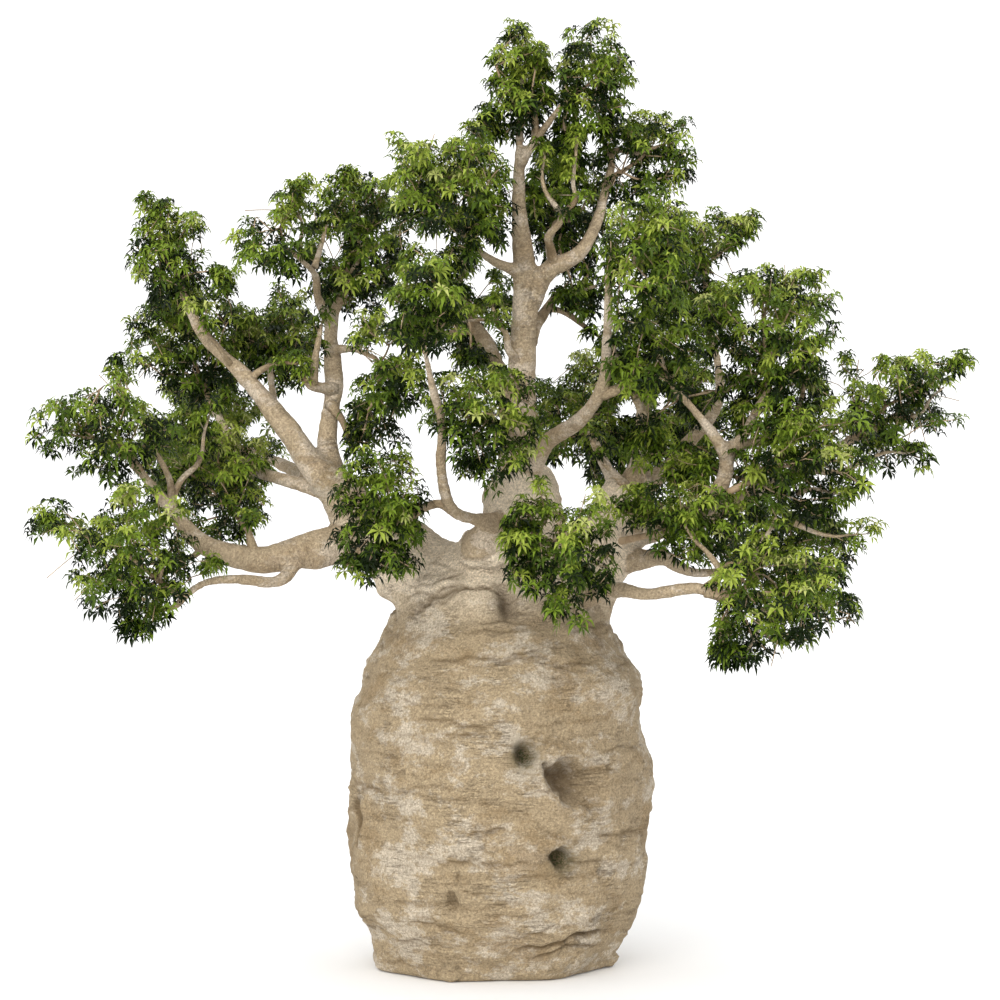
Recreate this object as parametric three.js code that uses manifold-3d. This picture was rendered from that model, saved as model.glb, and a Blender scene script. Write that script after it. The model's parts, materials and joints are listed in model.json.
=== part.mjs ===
// A bottle-trunked baobab, 9.4 m high, in millimetres with +Z up.
//
// The origin is the middle of the flat cut at ground level. The viewer's side is -Y.
// Three kinds of solid make the tree: the trunk with its three boles, the boughs, and the
// masses of foliage. Each mass is a cage of twigs that a seeded rule grows from one stem.

import * as THREE from "three";
import { mergeVertices } from "three/addons/utils/BufferGeometryUtils.js";
import Module from "manifold-3d";

const wasm = await Module();
wasm.setup();

// Places on the tree
//
// The tree was measured from where a viewer stands in front of it. So a place is given as
// [x, z, depth]: its width and height as they look on the plane through the trunk's axis,
// and how far behind that plane it lies, before the crown's roundness is taken in.
const viewerX = 100;
const viewerHeight = 4650;
const viewerDistance = 29000;
const roundness = 1.3;

// How much larger a thing must be at this depth to look the same.
function spread(depth) {
  return (viewerDistance + depth * roundness) / viewerDistance;
}

function place([x, z, depth]) {
  const s = spread(depth);
  const y = depth * roundness;
  return new THREE.Vector3(viewerX + (x - viewerX) * s, y, viewerHeight + (z - viewerHeight) * s);
}

// Trunk sizes
//
// Rows of the belly: height, left reach, right reach, reach in depth.
const belly = [
  [0, -1150, 1110, 1060],
  [250, -1190, 1290, 1190],
  [600, -1380, 1460, 1360],
  [1100, -1430, 1555, 1450],
  [1800, -1410, 1630, 1490],
  [2500, -1360, 1480, 1440],
  [2800, -1290, 1540, 1390],
  [3200, -1140, 1320, 1220],
  [3550, -950, 1120, 1040],
  [3900, -800, 960, 860],
  [4150, -520, 700, 600],
  [4280, -200, 420, 300],
];
const bellySides = 24;
const bellyRows = 16;

// The feet of the flare, as lobes that fade upwards.
const feet = 7;
const footDepth = 0.05;
const footHeight = 420;
const footTurn = 0.8;

// Slow swellings that keep the belly from looking turned on a lathe: their size as a share,
// how many go round, and two heights in which they come round again.
const swelling = { size: 0.022, lobes: 3, twist: 2, climb: 520, wave: 410 };

// Hollows in the belly's front: x, z, radius across, radius along z, depth.
const hollows = [
  [880, 1820, 330, 260, 170],
  [340, 2130, 150, 150, 90],
  [720, 1050, 150, 150, 80],
];

// Each bole, and the knuckle between two of them: rows of x, z, depth and radius.
const boles = [
  [[-450, 3650, 0, 540], [-890, 4120, -40, 362], [-1330, 4500, -80, 255], [-1570, 4830, -90, 185]],
  [[300, 3800, 0, 620], [320, 4450, 0, 420], [320, 4780, 0, 370], [300, 5010, 0, 195]],
  [[680, 3250, 0, 450], [930, 3750, 0, 370], [1150, 4150, 0, 320], [1320, 4530, 0, 290],
    [1380, 4800, 0, 235]],
];
const knuckle = [-10, 4100, -400, 310];
const boleSides = 12;
const boleStep = 260;
const knuckleSides = [14, 9];

// Boughs and masses
//
// A bough is a path of [x, z, depth, radius] rows that starts inside the limb it comes from
// and ends where it enters its mass. A mass has the centre and half sizes of its space.
// A mass on the trunk has a stem in place of a bough.
const limbs = [
  {
    name: "left_tip", from: "trunk",
    bough: [[-1250, 4230, -100, 190], [-1880, 4130, -300, 150], [-2350, 4050, -400, 125],
      [-2850, 4190, -500, 98], [-3150, 4510, -550, 68], [-3520, 4960, -640, 46]],
    centre: [-3800, 5440, -700], half: [800, 620, 650],
  },
  {
    name: "left_low", from: "left_tip",
    bough: [[-1900, 4120, -320, 75], [-2090, 3850, -520, 60], [-2540, 3860, -800, 48],
      [-2850, 3820, -950, 38], [-3040, 3700, -1040, 32]],
    centre: [-3710, 4110, -1200], half: [820, 780, 750],
  },
  {
    name: "left_mid", from: "left_tip",
    bough: [[-2290, 4060, -390, 50], [-2370, 4200, -250, 36], [-2420, 4330, -110, 27]],
    centre: [-2780, 4780, 200], half: [640, 640, 650],
  },
  {
    name: "left_tall", from: "trunk",
    bough: [[-1550, 4760, -100, 140], [-1780, 5020, -90, 122], [-2060, 5400, -50, 108],
      [-2470, 5900, 30, 78], [-2860, 6290, 80, 60], [-3030, 6620, 118, 45]],
    centre: [-3190, 7130, 150], half: [390, 620, 450],
  },
  {
    name: "left_broad", from: "trunk",
    bough: [[-1480, 4700, -40, 90], [-2060, 4850, 150, 68], [-2400, 4990, 400, 60],
      [-2580, 5250, 550, 50], [-2780, 5590, 700, 40]],
    centre: [-3020, 6220, 800], half: [640, 690, 650],
  },
  {
    name: "left_inner", from: "left_tall",
    bough: [[-2180, 5560, -20, 60], [-2170, 5680, 300, 45], [-2190, 5850, 700, 36], [-2200, 5980, 950, 32]],
    centre: [-2170, 6270, 1500], half: [480, 580, 700],
  },
  {
    name: "left_crown", from: "trunk",
    bough: [[-1540, 4720, -20, 118], [-1630, 5320, 60, 92], [-1560, 5750, 150, 95],
      [-1590, 6250, 250, 80], [-1550, 6530, 320, 58], [-1490, 6680, 360, 50]],
    centre: [-1340, 7230, 600], half: [560, 750, 700],
  },
  {
    name: "left_peak", from: "left_crown",
    bough: [[-1590, 6420, 290, 60], [-1720, 6670, 50, 44], [-1750, 6900, -200, 34], [-1950, 7100, -490, 26]],
    centre: [-2200, 7260, -700], half: [400, 500, 500],
  },
  {
    name: "mid_left", from: "left_crown",
    bough: [[-1590, 6150, 230, 50], [-1370, 6160, -50, 34], [-1170, 6080, -360, 26]],
    centre: [-1010, 5920, -680], half: [480, 760, 480],
  },
  {
    name: "heart_left", from: "trunk",
    bough: [[200, 4460, -100, 85], [-160, 4460, -600, 62], [-390, 4570, -900, 60], [-490, 4970, -1150, 58],
      [-480, 5400, -1350, 48], [-580, 5800, -1550, 36], [-655, 6160, -1715, 27]],
    centre: [-650, 6650, -1900], half: [430, 540, 550],
  },
  {
    name: "top", from: "trunk",
    bough: [[300, 4850, 0, 180], [290, 5200, 0, 160], [320, 5970, 0, 132], [345, 6890, 30, 118],
      [290, 7610, 20, 72], [290, 8070, 0, 50], [295, 8235, 0, 38]],
    centre: [320, 8850, 0], half: [320, 700, 420],
  },
  {
    name: "heart_upper", from: "top",
    bough: [[330, 6920, 20, 65], [50, 7030, -180, 48], [-170, 7180, -305, 36]],
    centre: [-400, 7720, -500], half: [680, 740, 750],
  },
  {
    name: "heart_low", from: "top",
    bough: [[290, 5430, 0, 120], [110, 5880, 200, 95], [-30, 6190, 420, 82], [-130, 6380, 620, 62]],
    centre: [-150, 6530, 1100], half: [480, 560, 650],
  },
  {
    name: "stem_front", from: "top",
    bough: [[290, 5230, 0, 60], [220, 5330, -350, 42], [110, 5420, -760, 30]],
    centre: [-70, 5430, -1250], half: [620, 680, 520],
  },
  {
    name: "top_right", from: "top",
    bough: [[290, 7990, 0, 50], [480, 8280, -60, 44], [690, 8560, -100, 30]],
    centre: [1010, 8840, -100], half: [410, 640, 450],
  },
  {
    name: "right_peak", from: "top",
    bough: [[350, 6580, 30, 108], [570, 6930, 0, 85], [890, 7120, -50, 72], [1070, 7430, 30, 58],
      [1165, 7800, 170, 40]],
    centre: [1560, 8080, 300], half: [490, 550, 550],
  },
  {
    name: "stem_right", from: "right_peak",
    bough: [[650, 6990, -20, 55], [590, 7220, 180, 40], [640, 7380, 330, 34]],
    centre: [790, 7560, 880], half: [440, 760, 600],
  },
  {
    name: "right_upper", from: "trunk",
    bough: [[320, 4800, -100, 110], [560, 5220, -380, 85], [900, 5450, -700, 76], [1130, 5800, -1000, 60],
      [1170, 6300, -1300, 50], [1190, 6850, -1620, 42]],
    centre: [1580, 7050, -1900], half: [470, 680, 600],
  },
  {
    name: "right_shoulder", from: "trunk",
    bough: [[1400, 4680, 40, 115], [1770, 4970, 200, 82], [2000, 5240, 350, 72], [2280, 5610, 550, 52],
      [2280, 6000, 700, 44], [2180, 6365, 820, 37]],
    centre: [2130, 6950, 900], half: [560, 600, 650],
  },
  {
    name: "right_outer", from: "trunk",
    bough: [[1320, 4450, -60, 130], [1850, 4490, -450, 105], [2200, 4620, -680, 90], [2340, 4870, -780, 78],
      [2380, 5120, -800, 72], [2540, 5300, -760, 52], [2640, 5500, -700, 42], [2755, 5710, -635, 32]],
    centre: [2750, 6280, -500], half: [740, 770, 650],
  },
  {
    name: "right_middle", from: "right_outer",
    bough: [[2380, 5080, -800, 66], [2250, 5280, -880, 55], [2080, 5500, -950, 44], [1910, 5700, -1010, 36]],
    centre: [1600, 6150, -1100], half: [520, 560, 500],
  },
  {
    name: "right_wide", from: "right_outer",
    bough: [[2110, 4570, -620, 60], [2240, 4620, -760, 48], [2350, 4700, -820, 42]],
    centre: [3060, 5070, -680], half: [840, 690, 650],
  },
  {
    name: "far_right", from: "trunk",
    bough: [[1300, 4330, 40, 150], [2100, 4480, 350, 110], [2700, 4740, 500, 82], [3110, 4980, 500, 60],
      [3600, 5250, 430, 46]],
    centre: [4130, 5630, 350], half: [640, 560, 650],
  },
  {
    name: "right_low", from: "trunk",
    bough: [[850, 3650, -250, 115], [1310, 3750, -950, 76], [1560, 3710, -1080, 64], [2060, 3770, -1280, 60],
      [2170, 3740, -1320, 56]],
    centre: [2840, 3620, -1500], half: [780, 660, 700],
  },
  {
    name: "right_skirt", from: "trunk",
    bough: [[1050, 4020, -40, 130], [1500, 4050, -120, 95], [1720, 4080, -50, 82], [1860, 3990, 100, 60],
      [2060, 3920, 250, 46], [2380, 3950, 400, 34]],
    centre: [3000, 4200, 600], half: [800, 470, 650],
  },
  {
    name: "back_stem", from: "trunk",
    bough: [[1350, 4600, 50, 90], [1150, 5000, 600, 60], [1040, 5240, 1230, 45]],
    centre: [880, 5450, 2000], half: [560, 760, 850],
  },
  {
    name: "back_left", from: "trunk",
    bough: [[-1400, 4560, 0, 120], [-1850, 4880, 650, 75], [-2200, 5060, 1350, 55], [-2380, 5130, 1620, 46]],
    centre: [-2800, 5250, 2300], half: [750, 700, 850],
  },
  {
    name: "back_right", from: "trunk",
    bough: [[1390, 4700, 60, 120], [1500, 5000, 400, 85], [1510, 5350, 1000, 68], [1520, 5540, 1590, 50]],
    centre: [1720, 5450, 2400], half: [750, 800, 850],
  },
  {
    name: "front_left", from: "trunk",
    stem: [[-1000, 4120, -150, 40], [-1050, 4230, -600, 34]],
    centre: [-1110, 4540, -1150], half: [480, 790, 500],
  },
  {
    name: "front_right", from: "trunk",
    stem: [[430, 4300, -150, 44], [560, 4250, -1000, 34]],
    centre: [710, 4120, -1550], half: [560, 780, 520],
  },
  {
    name: "right_under", from: "trunk",
    stem: [[1220, 4220, -60, 42], [1600, 4300, -650, 32]],
    centre: [2000, 4450, -1000], half: [620, 450, 500],
  },
];

// A bough thicker than this at its start gets the finer section and the longer steps.
const stoutBough = 100;
const stoutCut = { sides: 7, step: 470 };
const slimCut = { sides: 6, step: 350 };

// Foliage sizes
//
// A leaf here stands for a spray of the small leaves that the living tree has. Leaves come
// in fans of three, and their length is a share of the mean half size of the mass.
const firstSeed = 20;
const fansPerMass = 8;
const leafShare = 1;
const leafWidth = 0.62;
const leafWidest = 0.45;
const leafThickness = 1 / 40;
const leafDroop = 0.3;
const leafSpacing = 0.24;
const ribPlaces = [0.25, 0.5, 0.75, 1];
const edgePlaces = { towardsTip: 0.5, towardsRoot: 0.4 };
const fan = [
  { turn: 0, size: 1 },
  { turn: 1.15, size: 0.92 },
  { turn: -1.15, size: 0.92 },
];

// The scatter of a fan's way and length, and the steps by which a fan is drawn inwards. A
// way with less than the least level part is taken as upright.
const leastLevel = 0.1;
const wayScatter = 0.8;
const lengthScatter = 0.3;
const furthestIn = 0.4;
const inwardStep = 0.07;

// Twigs: the radius of a tip, how the radius grows with the tips beyond, how dear a long way
// home is, and the length from which a twig bends up in its middle, by a share of itself.
const twigTip = 12;
const twigThickening = 0.42;
const wayHome = 0.42;
const straightTwig = 700;
const twigBend = 0.1;
const twigSides = 3;
const twigPlaces = [0.25, 0.5, 0.75, 1];
const pastRoots = 34;

// A stem sets out a little thinner than its bough, goes straight on for some radii, then
// turns towards the middle of the space and stops part of the way there.
const stemStep = 400;
const stemSides = 4;
const stemStart = 0.94;
const stemNeck = { radii: 1.5, share: 0.9 };
const stemEnd = { way: 0.36, share: 0.82 };

// Clearances
const joint = 0.3;
const spaceSkin = 1.03;
const spaceMargin = 0.05;
const limbMargin = 14;
const trunkSkin = 1.06;

// Random numbers that come out the same on every machine.
function seeded(seed) {
  let state = seed >>> 0;
  return () => {
    state = (state + 0x6d2b79f5) >>> 0;
    let t = Math.imul(state ^ (state >>> 15), state | 1);
    t = (t + Math.imul(t ^ (t >>> 7), t | 61)) ^ t;
    return ((t ^ (t >>> 14)) >>> 0) / 4294967296;
  };
}

// Solids
function solidOf(geometry) {
  geometry.deleteAttribute("normal");
  geometry.deleteAttribute("uv");
  const merged = mergeVertices(geometry, 1e-3);
  return new wasm.Manifold(
    new wasm.Mesh({
      numProp: 3,
      vertProperties: new Float32Array(merged.attributes.position.array),
      triVerts: new Uint32Array(merged.index.array),
    }),
  );
}

function geometryOf(solid) {
  const mesh = solid.getMesh();
  const geometry = new THREE.BufferGeometry();
  geometry.setAttribute("position", new THREE.BufferAttribute(mesh.vertProperties, 3));
  geometry.setIndex(new THREE.BufferAttribute(mesh.triVerts, 1));
  geometry.computeVertexNormals();
  return geometry;
}

function largestBody(solid) {
  return solid.decompose().reduce((best, body) => (body.volume() > best.volume() ? body : best));
}

// A cylinder bent along rings, each a centre with a radius. Every ring is square to the
// path and keeps its turn from the ring before it.
function bent(rings, sides, grow = 0) {
  const last = rings.length - 1;
  const geometry = new THREE.CylinderGeometry(1, 1, 1, sides, last);
  const frames = [];
  const side = new THREE.Vector3(1, 0.1, 0);
  rings.forEach((ring, i) => {
    const before = rings[Math.max(i - 1, 0)].at;
    const after = rings[Math.min(i + 1, last)].at;
    const along = after.clone().sub(before).normalize();
    side.addScaledVector(along, -side.dot(along)).normalize();
    frames.push({ along, side: side.clone(), across: side.clone().cross(along) });
  });
  const position = geometry.attributes.position;
  for (let v = 0; v < position.count; v++) {
    const row = Math.round((position.getY(v) + 0.5) * last);
    const { along, side: sideways, across } = frames[row];
    const radius = rings[row].radius + grow;
    const end = row === 0 ? -grow : row === last ? grow : 0;
    const point = rings[row].at.clone();
    point.addScaledVector(along, end);
    point.addScaledVector(sideways, position.getX(v) * radius);
    point.addScaledVector(across, position.getZ(v) * radius);
    position.setXYZ(v, point.x, point.y, point.z);
  }
  return solidOf(geometry);
}

// The rings of a smooth limb through its rows of [x, z, depth, radius].
function ringsOf(rows, stepLength) {
  const curve = new THREE.CatmullRomCurve3(rows.map(place), false, "centripetal");
  const steps = Math.max(rows.length - 1, Math.ceil(curve.getLength() / stepLength));
  const rings = [];
  for (let i = 0; i <= steps; i++) {
    const t = (i / steps) * (rows.length - 1);
    const row = Math.min(Math.floor(t), rows.length - 2);
    const radius = THREE.MathUtils.lerp(rows[row][3], rows[row + 1][3], t - row);
    rings.push({ at: curve.getPoint(i / steps), radius });
  }
  return rings;
}

// Trunk
//
// The belly's middle and half sizes at a height, read smoothly from its rows.
const bellyCurve = new THREE.CatmullRomCurve3(
  belly.map(([, left, right, depth]) => new THREE.Vector3(left, right, depth)), false, "centripetal");

function bellyAt(height) {
  let row = 0;
  while (row < belly.length - 2 && height > belly[row + 1][0]) row++;
  const part = (height - belly[row][0]) / (belly[row + 1][0] - belly[row][0]);
  const at = bellyCurve.getPoint((row + Math.min(Math.max(part, 0), 1)) / (belly.length - 1));
  return { middle: (at.x + at.y) / 2, halfWidth: (at.y - at.x) / 2, halfDepth: at.z };
}

function bellyPoint(turn, height) {
  const { middle, halfWidth, halfDepth } = bellyAt(height);
  const lobe = footDepth * Math.cos(feet * turn + footTurn) * Math.exp(-height / footHeight);
  const { size, lobes, twist, climb, wave } = swelling;
  const swell = size * Math.sin(lobes * turn + height / climb) * Math.sin(height / wave + twist * turn);
  const reach = 1 + lobe + swell;
  const x = middle + halfWidth * reach * Math.cos(turn);
  let y = halfDepth * reach * Math.sin(turn);
  if (y < 0) {
    for (const [hx, hz, across, along, depth] of hollows) {
      y += depth * Math.exp(-(((x - hx) / across) ** 2) - ((height - hz) / along) ** 2);
    }
  }
  return new THREE.Vector3(x, y, height);
}

function bellySolid(grow) {
  const geometry = new THREE.CylinderGeometry(1, 1, 1, bellySides, bellyRows);
  const position = geometry.attributes.position;
  const topHeight = belly[belly.length - 1][0];
  for (let v = 0; v < position.count; v++) {
    const height = (position.getY(v) + 0.5) * topHeight;
    const out = Math.hypot(position.getX(v), position.getZ(v));
    const turn = Math.atan2(-position.getZ(v), position.getX(v));
    const point = bellyPoint(turn, height);
    const middle = bellyAt(height).middle;
    const x = middle + (point.x - middle + grow * Math.cos(turn)) * out;
    const y = (point.y + grow * Math.sin(turn)) * out;
    position.setXYZ(v, x, y, height + (height > 0 ? grow : 0));
  }
  return solidOf(geometry);
}

function trunkSolid(grow = 0) {
  const [x, z, depth, radius] = knuckle;
  const burl = new THREE.SphereGeometry(radius + grow, ...knuckleSides);
  const at = place([x, z, depth]);
  burl.translate(at.x, at.y, at.z);
  const parts = [bellySolid(grow), solidOf(burl)];
  for (const rows of boles) parts.push(bent(ringsOf(rows, boleStep), boleSides, grow));
  return wasm.Manifold.union(parts);
}

// Whether a point lies in or near the trunk.
function nearTrunk(point, margin) {
  const top = belly[belly.length - 1][0];
  if (point.z > top + margin) return false;
  const { middle, halfWidth, halfDepth } = bellyAt(Math.min(point.z, top));
  const x = (point.x - middle) / (halfWidth * trunkSkin + margin);
  const y = point.y / (halfDepth * trunkSkin + margin);
  return x * x + y * y < 1;
}

// Clearance from the limbs
//
// Every bole, bough and stem as a row of tapering lengths, with its owner's name.
const lengths = [];

function addLengths(owner, rings) {
  for (let i = 0; i < rings.length - 1; i++) lengths.push({ owner, a: rings[i], b: rings[i + 1] });
}

function distanceToLength(point, { a, b }) {
  const along = b.at.clone().sub(a.at);
  const t = THREE.MathUtils.clamp(point.clone().sub(a.at).dot(along) / along.lengthSq(), 0, 1);
  const nearest = a.at.clone().addScaledVector(along, t);
  return point.distanceTo(nearest) - THREE.MathUtils.lerp(a.radius, b.radius, t);
}

// The space of a mass
//
// Where the spaces of two masses meet, a point belongs to the one whose centre is nearer
// in that mass's own sizes, and a strip along the border stays empty.
const spaces = limbs.map(({ name, centre, half }) => {
  const s = spread(centre[2]);
  const sizes = new THREE.Vector3(half[0] * s, half[2] * roundness, half[1] * s);
  return { name, centre: place(centre), half: sizes };
});

function share(point, space) {
  return point.clone().sub(space.centre).divide(space.half).length();
}

function inSpace(point, space) {
  const own = share(point, space);
  if (own > spaceSkin || point.z < 0) return false;
  return spaces.every((other) => other === space || share(point, other) > own + spaceMargin);
}

function clearOfLimbs(point, owner, margin) {
  if (nearTrunk(point, margin)) return false;
  return lengths.every((length) => length.owner === owner || distanceToLength(point, length) > margin);
}

// Growth
//
// Fans of leaves are laid out evenly over the skin of the space, from the point furthest
// from the crown's heart round to the near side, and each is drawn inwards until its middle
// leaf is free. Twigs then grow from the stem's end to the roots of the fans, each from the
// joint that gives it the shortest way home.
const goldenAngle = Math.PI * (3 - Math.sqrt(5));
const crownHeart = new THREE.Vector3(100, 0, 5200);
const nearSide = -0.8;

function leafSize(space) {
  return (leafShare * (space.half.x + space.half.y + space.half.z)) / 3;
}

function fanLeaves(middle) {
  const { sideways, up } = leafFrame(middle);
  return fan.map(({ turn, size }) => ({
    root: middle.root,
    way: middle.way.clone().multiplyScalar(Math.cos(turn)).addScaledVector(sideways, Math.sin(turn)),
    length: middle.length * size,
    up,
  }));
}

function fansIn(space, random) {
  const fans = [];
  const placed = [];
  const size = leafSize(space);
  const lean = space.centre.clone().sub(crownHeart).normalize();
  const level = new THREE.Vector3(-lean.y, lean.x, 0).normalize();
  const rise = lean.clone().cross(level);
  for (let i = 0; i < fansPerMass; i++) {
    const height = 1 + ((nearSide - 1) * i) / (fansPerMass - 1);
    const turn = goldenAngle * i + 2 * Math.PI * random();
    const flat = Math.sqrt(1 - height * height);
    const out = lean.clone().multiplyScalar(height);
    out.addScaledVector(level, flat * Math.cos(turn)).addScaledVector(rise, flat * Math.sin(turn));
    const way = out.clone();
    way.x += wayScatter * (random() - 0.5);
    way.y += wayScatter * (random() - 0.5);
    way.z += wayScatter * (random() - 0.5) - leafDroop;
    way.normalize();
    const length = size * (1 + lengthScatter * (random() - 0.5));
    const roll = Math.PI * random();
    for (let reach = 1; reach > furthestIn; reach -= inwardStep) {
      const tip = out.clone().multiplyScalar(reach).multiply(space.half).add(space.centre);
      const middle = { root: tip.addScaledVector(way, -length), way, length, roll };
      const leaves = fanLeaves(middle);
      const free = leaves.filter((leaf) => leafIsFree(leaf, space) && leafIsApart(leaf, placed, size));
      if (free.length === 0 || free[0] !== leaves[0]) continue;
      placed.push(...free);
      fans.push({ root: middle.root, leaves: free });
      break;
    }
  }
  return fans;
}

function ribPoints({ root, way, length }) {
  return ribPlaces.map((part) => root.clone().addScaledVector(way, part * length));
}

function leafIsApart(leaf, others, size) {
  const own = ribPoints(leaf);
  return others.every((other) => {
    const theirs = ribPoints(other);
    return own.every((a) => theirs.every((b) => a.distanceTo(b) > leafSpacing * size));
  });
}

function lineIsFree(from, to, space) {
  for (const t of twigPlaces) {
    const point = from.clone().lerp(to, t);
    if (!inSpace(point, space) || !clearOfLimbs(point, space.name, twigTip + limbMargin)) return false;
  }
  return true;
}

// The joints of the twigs, and the leaves that they reach.
function growTwigs(space, start, fans) {
  const joints = [{ at: start, parent: -1, way: 0 }];
  const reached = [];
  const join = (at, parent) => {
    const way = joints[parent].way + joints[parent].at.distanceTo(at);
    return joints.push({ at, parent, way }) - 1;
  };
  fans.sort((a, b) => a.root.distanceTo(start) - b.root.distanceTo(start));
  for (const { root, leaves } of fans) {
    let best = -1;
    let shortest = Infinity;
    joints.forEach((each, i) => {
      const way = each.at.distanceTo(root) + wayHome * each.way;
      if (way < shortest && lineIsFree(each.at, root, space)) {
        best = i;
        shortest = way;
      }
    });
    if (best < 0) continue;
    reached.push(...leaves);
    const from = joints[best].at;
    const elbow = from.clone().lerp(root, 0.5);
    elbow.z += twigBend * from.distanceTo(root);
    const bends = from.distanceTo(root) > straightTwig;
    if (bends && lineIsFree(from, elbow, space) && lineIsFree(elbow, root, space)) best = join(elbow, best);
    join(root, best);
  }
  return { joints, reached };
}

// The twigs as runs of rings from a joint out to a tip. Each run follows the child with
// the most twigs beyond it, and a twig is as thick as the tips that it feeds.
function runsOf(joints, stemRadius) {
  const load = joints.map(() => 0);
  for (let i = joints.length - 1; i >= 0; i--) {
    load[i] = Math.max(load[i], 1);
    if (joints[i].parent >= 0) load[joints[i].parent] += load[i];
  }
  const radiusAt = (i) => Math.min(twigTip * Math.pow(load[i], twigThickening), stemRadius);
  const heir = joints.map(() => -1);
  joints.forEach(({ parent }, i) => {
    if (parent >= 0 && (heir[parent] < 0 || load[i] > load[heir[parent]])) heir[parent] = i;
  });
  const runs = [];
  joints.forEach(({ parent }, i) => {
    if (parent >= 0 && heir[parent] === i) return;
    const run = parent >= 0 ? [{ at: joints[parent].at, radius: radiusAt(i) }] : [];
    for (let j = i; j >= 0; j = heir[j]) run.push({ at: joints[j].at, radius: radiusAt(j) });
    if (run.length < 2) return;
    const [before, last] = run.slice(-2);
    const along = last.at.clone().sub(before.at).normalize();
    run[run.length - 1] = { at: last.at.clone().addScaledVector(along, pastRoots), radius: last.radius };
    runs.push(run);
  });
  return runs;
}

// A leaf is an octahedron drawn out from its root to its tip. It lies across its up, which
// for the middle leaf of a fan is a level way turned by the fan's roll.
function leafFrame({ way, roll, up }) {
  if (up) return { sideways: way.clone().cross(up), up };
  const level = new THREE.Vector3(-way.y, way.x, 0);
  if (level.length() < leastLevel) level.set(1, 0, 0);
  const sideways = level.normalize().applyAxisAngle(way, roll);
  return { sideways, up: sideways.clone().cross(way) };
}

function leafCorners(leaf) {
  const { sideways, up } = leafFrame(leaf);
  const { root, way, length } = leaf;
  return (x, y, z) => {
    const along = x > 0 ? length : x < 0 ? 0 : length * leafWidest;
    const point = root.clone().addScaledVector(way, along);
    point.addScaledVector(sideways, z * length * leafWidth * 0.5);
    return point.addScaledVector(up, y * length * leafThickness);
  };
}

function leafSolid(leaf) {
  const geometry = new THREE.OctahedronGeometry(1);
  const corner = leafCorners(leaf);
  const position = geometry.attributes.position;
  for (let v = 0; v < position.count; v++) {
    const [x, y, z] = [position.getX(v), position.getY(v), position.getZ(v)].map(Math.round);
    const point = corner(x, y, z);
    position.setXYZ(v, point.x, point.y, point.z);
  }
  return solidOf(geometry);
}

function leafIsFree(leaf, space) {
  const corner = leafCorners(leaf);
  const tip = corner(1, 0, 0);
  const wings = [corner(0, 0, 1), corner(0, 0, -1)];
  const tests = [leaf.root, tip, ...wings, wings[0].clone().lerp(wings[1], 0.5)];
  for (const wing of wings) {
    tests.push(wing.clone().lerp(tip, edgePlaces.towardsTip));
    tests.push(wing.clone().lerp(leaf.root, edgePlaces.towardsRoot));
  }
  return tests.every((p) => inSpace(p, space) && clearOfLimbs(p, space.name, limbMargin));
}

// The parts of a mass: its stem, from the bough's tip or out of the trunk, and its twigs
// and leaves.
function stemRings(limb, space) {
  const rings = limb.stem ? ringsOf(limb.stem, stemStep) : [];
  if (limb.bough) {
    const tip = limb.rings[limb.rings.length - 1];
    const along = tip.at.clone().sub(limb.rings[limb.rings.length - 2].at).normalize();
    const start = tip.at.clone().addScaledVector(along, joint);
    const neck = tip.at.clone().addScaledVector(along, tip.radius * stemNeck.radii);
    rings.push({ at: start, radius: tip.radius * stemStart });
    rings.push({ at: neck, radius: tip.radius * stemNeck.share });
  }
  const last = rings[rings.length - 1];
  const end = last.at.clone().lerp(space.centre, stemEnd.way);
  rings.push({ at: end, radius: last.radius * stemEnd.share });
  return rings;
}

function massSolid(limb, space, random) {
  const stem = limb.stemRings;
  const end = stem[stem.length - 1];
  const { joints, reached } = growTwigs(space, end.at, fansIn(space, random));
  const parts = [bent(stem, stemSides)];
  for (const run of runsOf(joints, end.radius)) parts.push(bent(run, twigSides));
  for (const leaf of reached) parts.push(leafSolid(leaf));
  return largestBody(wasm.Manifold.union(parts));
}

// Colours
const trunkBark = new THREE.MeshStandardMaterial({ color: 0xc8b394, roughness: 0.9, metalness: 0 });
const boughBark = new THREE.MeshStandardMaterial({ color: 0xb9a487, roughness: 0.85, metalness: 0 });
const foliage = new THREE.MeshStandardMaterial({ color: 0x3f6b24, roughness: 0.6, metalness: 0 });

function named(name, solid, material) {
  const mesh = new THREE.Mesh(geometryOf(solid), material);
  mesh.name = name;
  return mesh;
}

// The tree, with a group for each limb inside the group of the limb it comes from.
const tree = new THREE.Group();
tree.add(named("trunk", trunkSolid(), trunkBark));
const groups = new Map([["trunk", tree]]);
for (const limb of limbs) {
  const group = new THREE.Group();
  groups.get(limb.from).add(group);
  groups.set(limb.name, group);
}

// Each bough is cut clear of everything built before it, which leaves it a seat on what
// carries it, 0.3 mm clear.
const cutters = [trunkSolid(joint)];
for (const rows of boles) addLengths("trunk", ringsOf(rows, boleStep));
for (const limb of limbs.filter((each) => each.bough)) {
  const { sides, step } = limb.bough[0][3] > stoutBough ? stoutCut : slimCut;
  limb.rings = ringsOf(limb.bough, step);
  const cut = cutters.reduce((rest, cutter) => rest.subtract(cutter), bent(limb.rings, sides));
  groups.get(limb.name).add(named("bough_" + limb.name, largestBody(cut), boughBark));
  cutters.push(bent(limb.rings, sides, joint));
  addLengths("bough " + limb.name, limb.rings);
}

limbs.forEach((limb, i) => {
  limb.stemRings = stemRings(limb, spaces[i]);
  addLengths(limb.name, limb.stemRings);
});

limbs.forEach((limb, i) => {
  const solid = massSolid(limb, spaces[i], seeded(firstSeed + i));
  const clear = limb.stem ? largestBody(solid.subtract(cutters[0])) : solid;
  groups.get(limb.name).add(named("leaves_" + limb.name, clear, foliage));
});

export default tree;
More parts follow.
